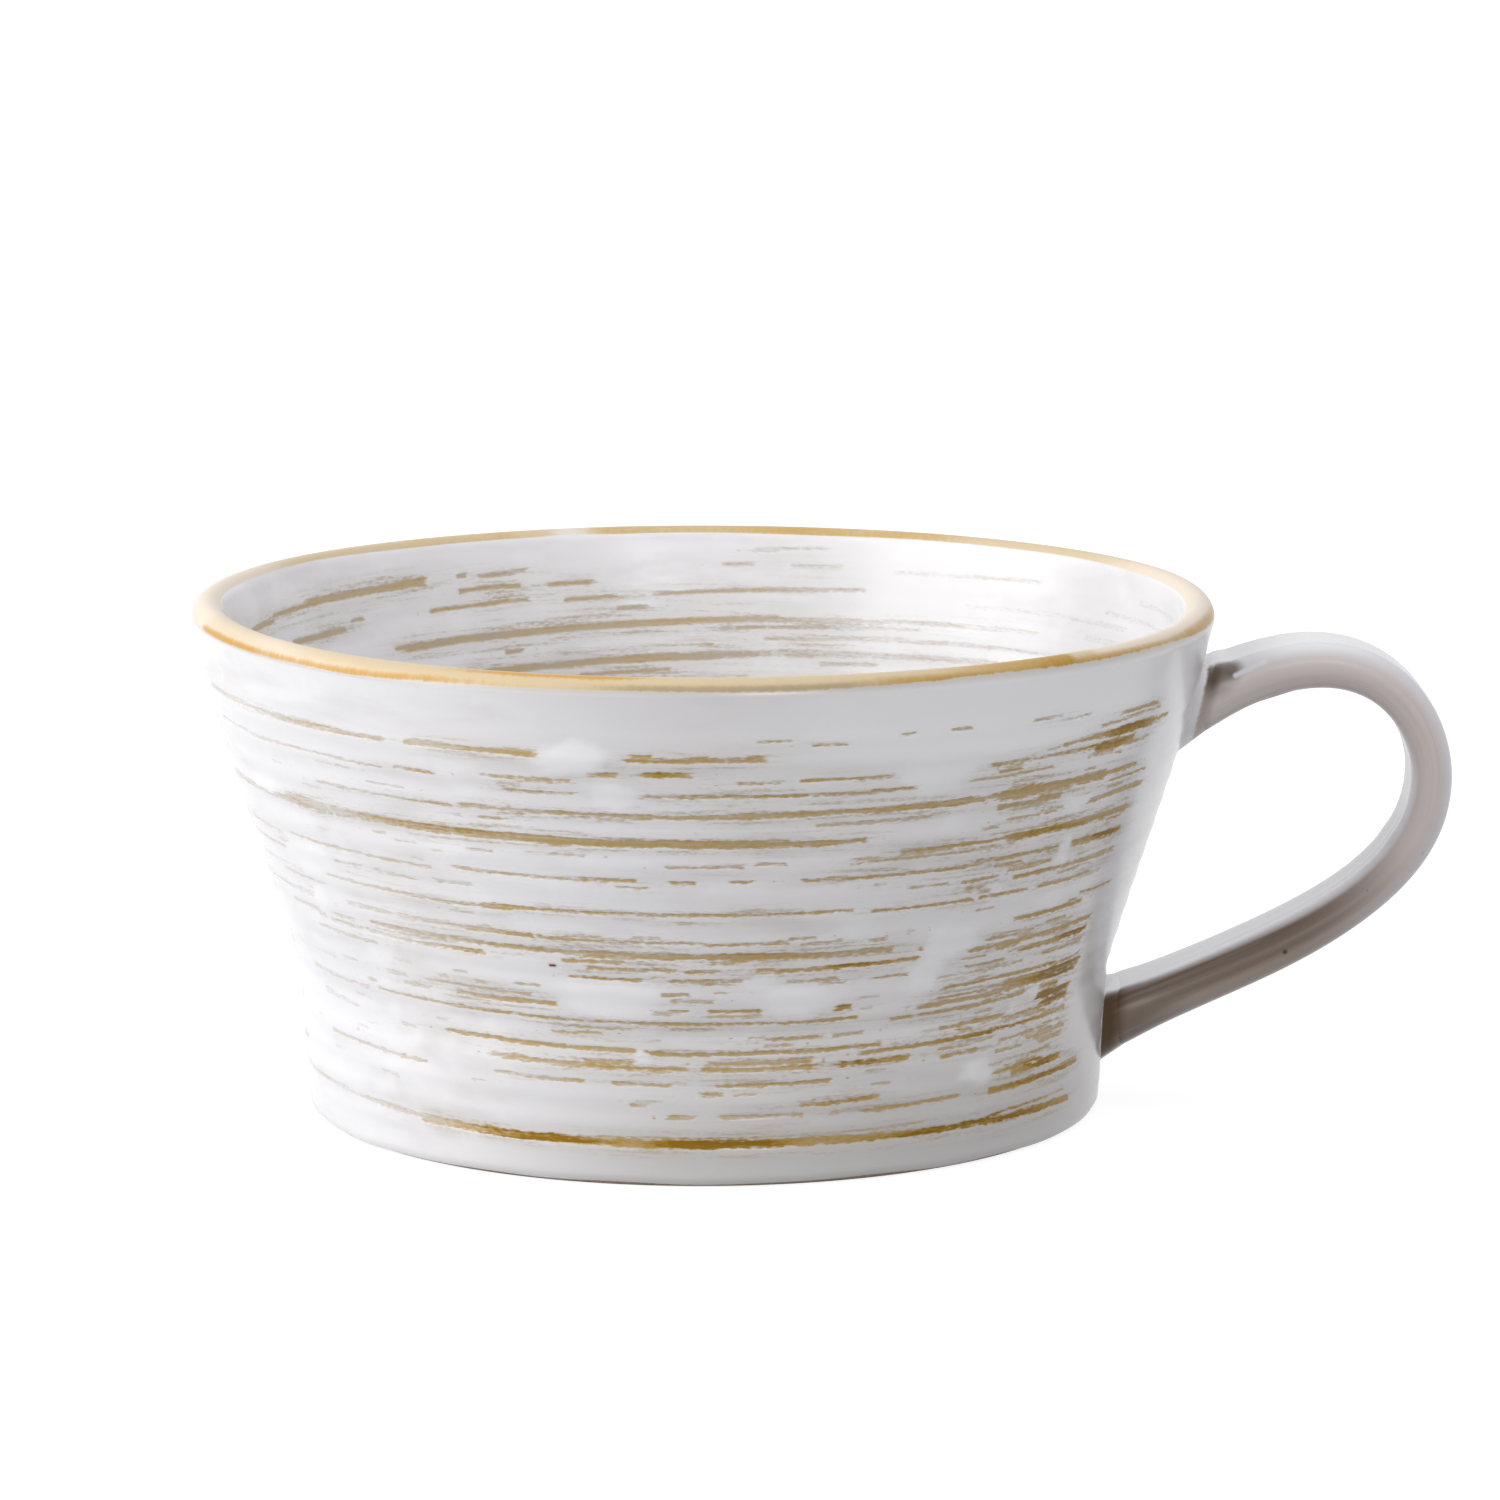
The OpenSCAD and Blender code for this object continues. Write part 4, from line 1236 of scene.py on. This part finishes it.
def brushed_glaze(name, roughly, golden):
    """White glaze with the ochre showing through in brushed streaks, and faint ghosts of strokes round them.

    The streaks' edges are more or less rough, and their colour is more or less golden.
    """
    paint = Paint(name)
    white, dimples = bowl_white(paint)
    lobes = paint.noise(paint.brush, LOBES, 3)
    ragged = paint.total(paint.field("pool"), (lobes, 0.9), (paint.noise(paint.brush, FINE_LOBES), 0.5))
    white = paint.mix(paint.times(paint.smooth(ragged, 0.05, 1), 0.65), white, WHITE_THICK_AND_LIGHT)
    bristles = paint.noise(paint.brush, BRISTLES)
    grain = paint.noise(paint.brush, GRAIN, 3)
    breaks = paint.noise(paint.brush, BREAKS, 3)
    streak = paint.field("streak")
    force = paint.field("force")
    near = paint.field("near")
    frayed = paint.total((bristles, 0.8 * roughly), (grain, 1.3 * roughly))
    frayed = paint.times(frayed, paint.smooth(streak, 0, 0.3))
    line = paint.smooth(paint.total(streak, frayed), 0.2, 0.75)
    ends = paint.smooth(paint.total(paint.field("reach"), (grain, 0.6), (bristles, 0.6)), 0.3, 0.7)
    cover = paint.smooth(paint.total(force, (breaks, 0.7), (bristles, 0.6), (grain, 0.8)), -0.1, 0.95)
    bare = paint.times(line, ends, cover)
    ghosts = paint.total(paint.noise(paint.brush, GHOSTS, 3), (grain, 0.5))
    ghost = paint.times(paint.smooth(ghosts, -0.04, 0.3), near)
    tone = paint.total(
        (breaks, 0.7), (paint.field("dark"), 0.7), (force, 0.6), (bristles, 0.6), (grain, 0.6), golden)
    ochre = paint.ramp(
        tone, (0, OCHRE_GREY), (0.25, OCHRE_TAN), (0.5, OCHRE_GOLD), (0.8, OCHRE_DEEP), (1, OCHRE_BROWN))
    colour = paint.mix(paint.total((ghost, 0.8), (near, 0.18)), white, OCHRE_GREY)
    colour = paint.mix(bare, colour, ochre)
    speck = [on_outside(SPECK_HEIGHT, degrees) for degrees in SPECK_ANGLES]
    colour = paint.mix(paint.times(paint.stripe(*speck, 2 * SPECK_R), 0.4), colour, RUST)
    colour = paint.mix(paint.stripe(*speck, SPECK_R), colour, IRON_DARK)
    height = paint.total((bare, -1), (dimples, 0.3))
    roughness = paint.total((bare, 0.14), (dimples, 0.06), 0.22)
    return paint.finish(colour, roughness, height, BRUSHED_DEPTH, paint.total((bare, -0.36), 0.5))


LIP_CREAM = srgb(234, 219, 200)
LIP_TAN = srgb(214, 194, 158)
LIP_GOLD = srgb(196, 160, 92)
LIP_BROWN = srgb(182, 138, 20)
LIP_ORANGE = srgb(206, 158, 76)
LIP_DULL = srgb(184, 164, 132)
LIP_HALO_AND_SHADE = srgb(206, 200, 195)


def lip_glaze(name):
    """Ochre that breaks over the lip with a ragged edge, cream where it is thin and golden where thick."""
    paint = Paint(name)
    white, dimples = bowl_white(paint)
    runs = paint.noise(paint.place, LIP_RUNS)
    cloud = paint.noise(paint.place, LIP_CLOUD, 3)
    patches = paint.noise(paint.place, LIP_PATCHES)
    frayed = paint.field("frayed")
    ragged = paint.times(runs, paint.total((frayed, 0.9), 0.15))
    shown = paint.smooth(paint.total(paint.field("ochre"), ragged), 0.2, 0.7)
    ochre = paint.mix(
        paint.smooth(paint.total(paint.field("pale"), (cloud, 0.7)), 0.1, 0.9), LIP_TAN, LIP_CREAM)
    depth = paint.total(paint.field("deep"), (cloud, 0.7), (runs, 0.3))
    ochre = paint.mix(paint.smooth(depth, 0.2, 0.9), ochre, LIP_GOLD)
    ochre = paint.mix(paint.smooth(depth, 0.8, 1.1), ochre, LIP_BROWN)
    ochre = paint.mix(paint.smooth(paint.total(paint.field("dull"), (runs, 0.5)), 0.2, 1), ochre, LIP_DULL)
    heat = paint.total(paint.field("hot"), (runs, 0.6), (patches, 0.6))
    ochre = paint.mix(paint.smooth(heat, 0.15, 0.95), ochre, LIP_ORANGE)
    # Warm grey below the ochre: partly the glaze's halo, partly painted shade over the lip's bright lower
    # curve
    beside = paint.mix(paint.times(paint.field("halo_and_shade"), frayed), white, LIP_HALO_AND_SHADE)
    colour = paint.mix(shown, beside, ochre)
    height = paint.total((shown, -0.5), (dimples, 0.3))
    roughness = paint.total((shown, 0.1), (dimples, 0.06), 0.24)
    return paint.finish(colour, roughness, height, LIP_DEPTH, paint.total((shown, -0.25), 0.5))


STRAP_WHITE = srgb(229, 229, 234)
STRAP_GREY = srgb(208, 198, 194)
STRAP_DUSK = srgb(160, 144, 133)
STRAP_DARK = srgb(105, 87, 73)
STRAP_BROWN = srgb(76, 56, 28)
STRAP_PATCH = srgb(98, 83, 68)
# Marks on the near side of the strap, in mm: a place, radius and share for each speck and patch, and the two
# ends and radius of a painted highlight
STRAP_SPECKS = [
    ((59.9, -5.3, 16.3), 0.34, 1), ((68.3, -5.1, 22.7), 0.18, 0.4), ((74, -4.7, 26.5), 0.18, 0.35)]
STRAP_PATCHES = [((52, -5.2, 45.1), 3.1, 0.95), ((53.9, -5.2, 45.7), 1.9, 0.9)]
STRAP_HIGHLIGHT = ((54.4, -5.65, 45.2), (57.4, -5.35, 46.6))
STRAP_HIGHLIGHT_R = 0.42
# Shares of the strap's length at which the inner face's white, painted brighter as painted light, begins and
# fills, and the dark of the lower root does
STRAP_INNER_LIGHT = (0.3, 0.45)
STRAP_ROOT = (0.86, 0.96)


def strap_glaze(name):
    """Glaze over a pulled strap: white on its broad faces, grey on its sides, brown at its roots."""
    paint = Paint(name)
    white, dimples = white_glaze(paint)
    along_it, side_field, turn_field, lower = map(paint.field, ("along", "side", "turn", "lower"))
    parts = paint.node("CombineXYZ", {
        0: along_it, 1: paint.times(turn_field, STRAP_T / 2), 2: paint.times(side_field, STRAP_T)}).outputs[0]
    pulled = paint.noise(parts, PULLED)
    fine = paint.noise(parts, FINE_PULLED)
    side = paint.smooth(paint.total(side_field, (pulled, 0.3)), 0.1, 1)
    turn = paint.total(turn_field, (pulled, 0.5), (fine, 0.2))
    band = paint.times(paint.smooth(turn, -0.95, -0.6), paint.smooth(turn, 0.45, 0.0))
    outer = paint.times(paint.smooth(turn, 0.2, 1), paint.total((lower, -0.7), 0.8))
    inner, root = (
        paint.smooth(along_it, *(share * strap_along[-1] for share in limits))
        for limits in (STRAP_INNER_LIGHT, STRAP_ROOT))
    inner = paint.times(paint.smooth(paint.total(turn_field, (pulled, 0.2)), -0.68, -1), inner)
    grey = paint.mix(lower, STRAP_GREY, STRAP_DUSK)
    grey = paint.mix(paint.times(band, paint.total((lower, 0.9), 0.06)), grey, STRAP_DARK)
    grey = paint.mix(root, grey, STRAP_DARK)
    colour = paint.mix(side, paint.mix(0.6, white, STRAP_WHITE), grey)
    streaks = paint.smooth(paint.total(pulled, (fine, 0.8)), 0.0, 0.3)
    colour = paint.mix(paint.times(streaks, 0.3), colour, STRAP_DUSK)
    colour = paint.mix(outer, colour, STRAP_WHITE)
    # The inner face is painted brighter than the white glaze: painted light
    colour = paint.mix(paint.times(inner, paint.total((root, -0.6), 1)), colour, WHITE_THICK_AND_LIGHT)
    for place, radius, share in STRAP_PATCHES:
        spot = paint.spot(Vector(place) * MM, radius * MM, 0.2)
        colour = paint.mix(paint.times(spot, share), colour, STRAP_PATCH)
    # A painted highlight along the upper limb near its root
    painted_highlight = paint.stripe(*(Vector(place) * MM for place in STRAP_HIGHLIGHT), STRAP_HIGHLIGHT_R * MM)
    colour = paint.mix(paint.times(painted_highlight, 0.85), colour, STRAP_WHITE)
    past = paint.total(paint.field("past_break"), (pulled, 0.5), (fine, 0.3))
    colour = paint.mix(paint.smooth(past, 0.1, -0.4), colour, white)
    # Brown break line at the roots; on the lower root it reaches further, partly the glaze's break and partly
    # painted shade over the bright strip of the fillet
    line_and_shade_w = paint.total((lower, 0.9), 1.3)
    line_end = paint.smooth(paint.calc("DIVIDE", past, line_and_shade_w), 1.3, 0.4)
    line = paint.times(paint.smooth(past, -0.4, 0.15), line_end, side)
    upper_shown = paint.total((paint.smooth(turn, -0.9, 0.5), 0.3), 0.1)
    shown = paint.calc("MAXIMUM", paint.times(lower, 0.9), upper_shown)
    colour = paint.mix(paint.times(line, shown), colour, STRAP_BROWN)
    for place, radius, share in STRAP_SPECKS:
        spot = paint.spot(Vector(place) * MM, radius * MM)
        colour = paint.mix(paint.times(spot, share), colour, IRON_DARK)
    height = paint.total((pulled, 0.3), (line, -0.8), (dimples, 0.25))
    roughness = paint.total((side, 0.1), (dimples, 0.08), 0.24)
    return paint.finish(colour, roughness, height, STRAP_DEPTH, paint.total((line, -0.3), 0.5))


CLAY_PALE = srgb(186, 168, 146)
CLAY_DARK = srgb(140, 120, 100)
SLIP_PALE = srgb(168, 142, 112)
SLIP_DARK = srgb(126, 98, 70)


def bare_clay(name, pale, dusky):
    """Unglazed stoneware: sandy, speckled with iron and dull, with the streaks of the turning tool."""
    paint = Paint(name)
    sand = paint.noise(paint.place, SAND, 3)
    cloud = paint.noise(paint.place, CLAY_CLOUD, 3)
    turned_marks = paint.noise(paint.brush, TURNED, 3)
    shade = paint.total((cloud, 0.3), (turned_marks, 0.9), (sand, 0.7))
    colour = paint.mix(paint.smooth(shade, -0.4, 0.5), pale, dusky)
    colour = paint.mix(paint.specks(420, 0.12, 0.2 * MM), colour, IRON)
    height = paint.total((sand, 1), (turned_marks, 1.5))
    return paint.finish(colour, paint.total((sand, 0.2), 0.78), height, CLAY_DEPTH)


outer_coat.data.materials.append(brushed_glaze("outer_brushed_glaze", 1, -0.13))
inner_coat.data.materials.append(brushed_glaze("inner_brushed_glaze", 0.3, -0.32))
lip_coat.data.materials.append(lip_glaze("ochre_lip_glaze"))
handle_coat.data.materials.append(strap_glaze("grey_strap_glaze"))
stoneware = bare_clay("bare_stoneware_clay", CLAY_PALE, CLAY_DARK)
slip_clay = bare_clay("joining_slip_clay", SLIP_PALE, SLIP_DARK)
clay_body.data.materials.append(stoneware)
for name, material in (
        ("handle", stoneware), ("upper_slip_joint", slip_clay), ("lower_slip_joint", slip_clay)):
    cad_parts[name].data.materials.clear()
    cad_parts[name].data.materials.append(material)

for piece, node, slot in (
        (outer_coat, "outer_glaze", "brushed_white_glaze"),
        (inner_coat, "inner_glaze", "brushed_white_glaze"),
        (lip_coat, "rim_glaze", "ochre_rim_glaze"),
        (handle_coat, "handle_glaze", "grey_handle_glaze"),
        (clay_body, "cup_body", "bare_stoneware")):
    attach(piece, "root")
    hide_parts(node)

# Studio: a white floor and backdrop, and a dimmer surround that lights the cup
WHITE = (1, 1, 1, 1)
AMBIENT = (0.57, 0.57, 0.585, 1)
FLOOR_SIZE = 12
FLOOR_GLOW = 0.86
FLOOR_COLOUR = (0.32, 0.32, 0.32, 1)
# A soft key light from the left and two weaker ones: place, size, power, colour and level in reflections
LIGHTS = {
    "key_light": ((-0.68, -0.2, 0.33), 0.85, 5.4, (1, 0.995, 0.985), 0.05),
    "top_light": ((0.25, 0.15, 0.75), 0.6, 0.8, (1, 1, 1), 0.2),
    "front_light": ((0.25, -1, 0.16), 0.3, 1.83, (1, 1, 1), 0.1),
}


def light_surround():
    """A backdrop that is white where it is seen and dimmer where it lights the cup."""
    world = bpy.data.worlds.new("studio")
    bpy.context.scene.world = world
    nodes = Nodes(world)
    dim, white = (nodes.node("Background", {"Color": colour}).outputs[0] for colour in (AMBIENT, WHITE))
    chosen = nodes.node("MixShader", {0: nodes.seen_rays(), 1: dim, 2: white}).outputs[0]
    nodes.node("OutputWorld", {"Surface": chosen})


def add_floor():
    """A wide floor that is white to the camera and keeps the shadow of the cup."""
    half = FLOOR_SIZE / 2
    mesh = bpy.data.meshes.new("studio_floor")
    corners = [(-half, -half, 0), (half, -half, 0), (half, half, 0), (-half, half, 0)]
    mesh.from_pydata(corners, [], [(0, 1, 2, 3)])
    floor = add_object("studio_floor", mesh)
    material = bpy.data.materials.new("studio_paper")
    nodes = Nodes(material)
    paper = nodes.node("BsdfDiffuse", {"Color": FLOOR_COLOUR}).outputs[0]
    glow = nodes.node("Emission", {"Strength": nodes.times(nodes.seen_rays(), FLOOR_GLOW)}).outputs[0]
    both = nodes.node("AddShader", {0: paper, 1: glow}).outputs[0]
    nodes.node("OutputMaterial", {"Surface": both})
    mesh.materials.append(material)


def add_light(name, place, size, power, colour, gloss):
    lamp = bpy.data.lights.new(name, "AREA")
    lamp.shape = "DISK"
    lamp.size = size
    lamp.energy = power
    lamp.color = colour
    lamp.specular_factor = gloss
    light = add_object(name, lamp)
    light.location = place
    aim = Vector((0, 0, CUP_H / 2)) - light.location
    light.rotation_euler = aim.to_track_quat("-Z", "Y").to_euler()


light_surround()
add_floor()
for name, values in LIGHTS.items():
    add_light(name, *values)

# Camera, placed so that the rim and foot fall where the photograph has them
CAMERA_PLACE = (4.78 * MM, -640.51 * MM, 147.17 * MM)
CAMERA_PITCH = 80.196
CAMERA_LENS = 151
CAMERA_SENSOR = 36
CAMERA_NEAREST = 0.01
lens = bpy.data.cameras.new("photo_camera")
lens.lens = CAMERA_LENS
lens.sensor_width = CAMERA_SENSOR
lens.clip_start = CAMERA_NEAREST
camera = add_object("photo_camera", lens)
camera.location = CAMERA_PLACE
camera.rotation_euler = (math.radians(CAMERA_PITCH), 0, 0)
bpy.context.scene.camera = camera
bpy.context.scene.view_settings.view_transform = "Standard"
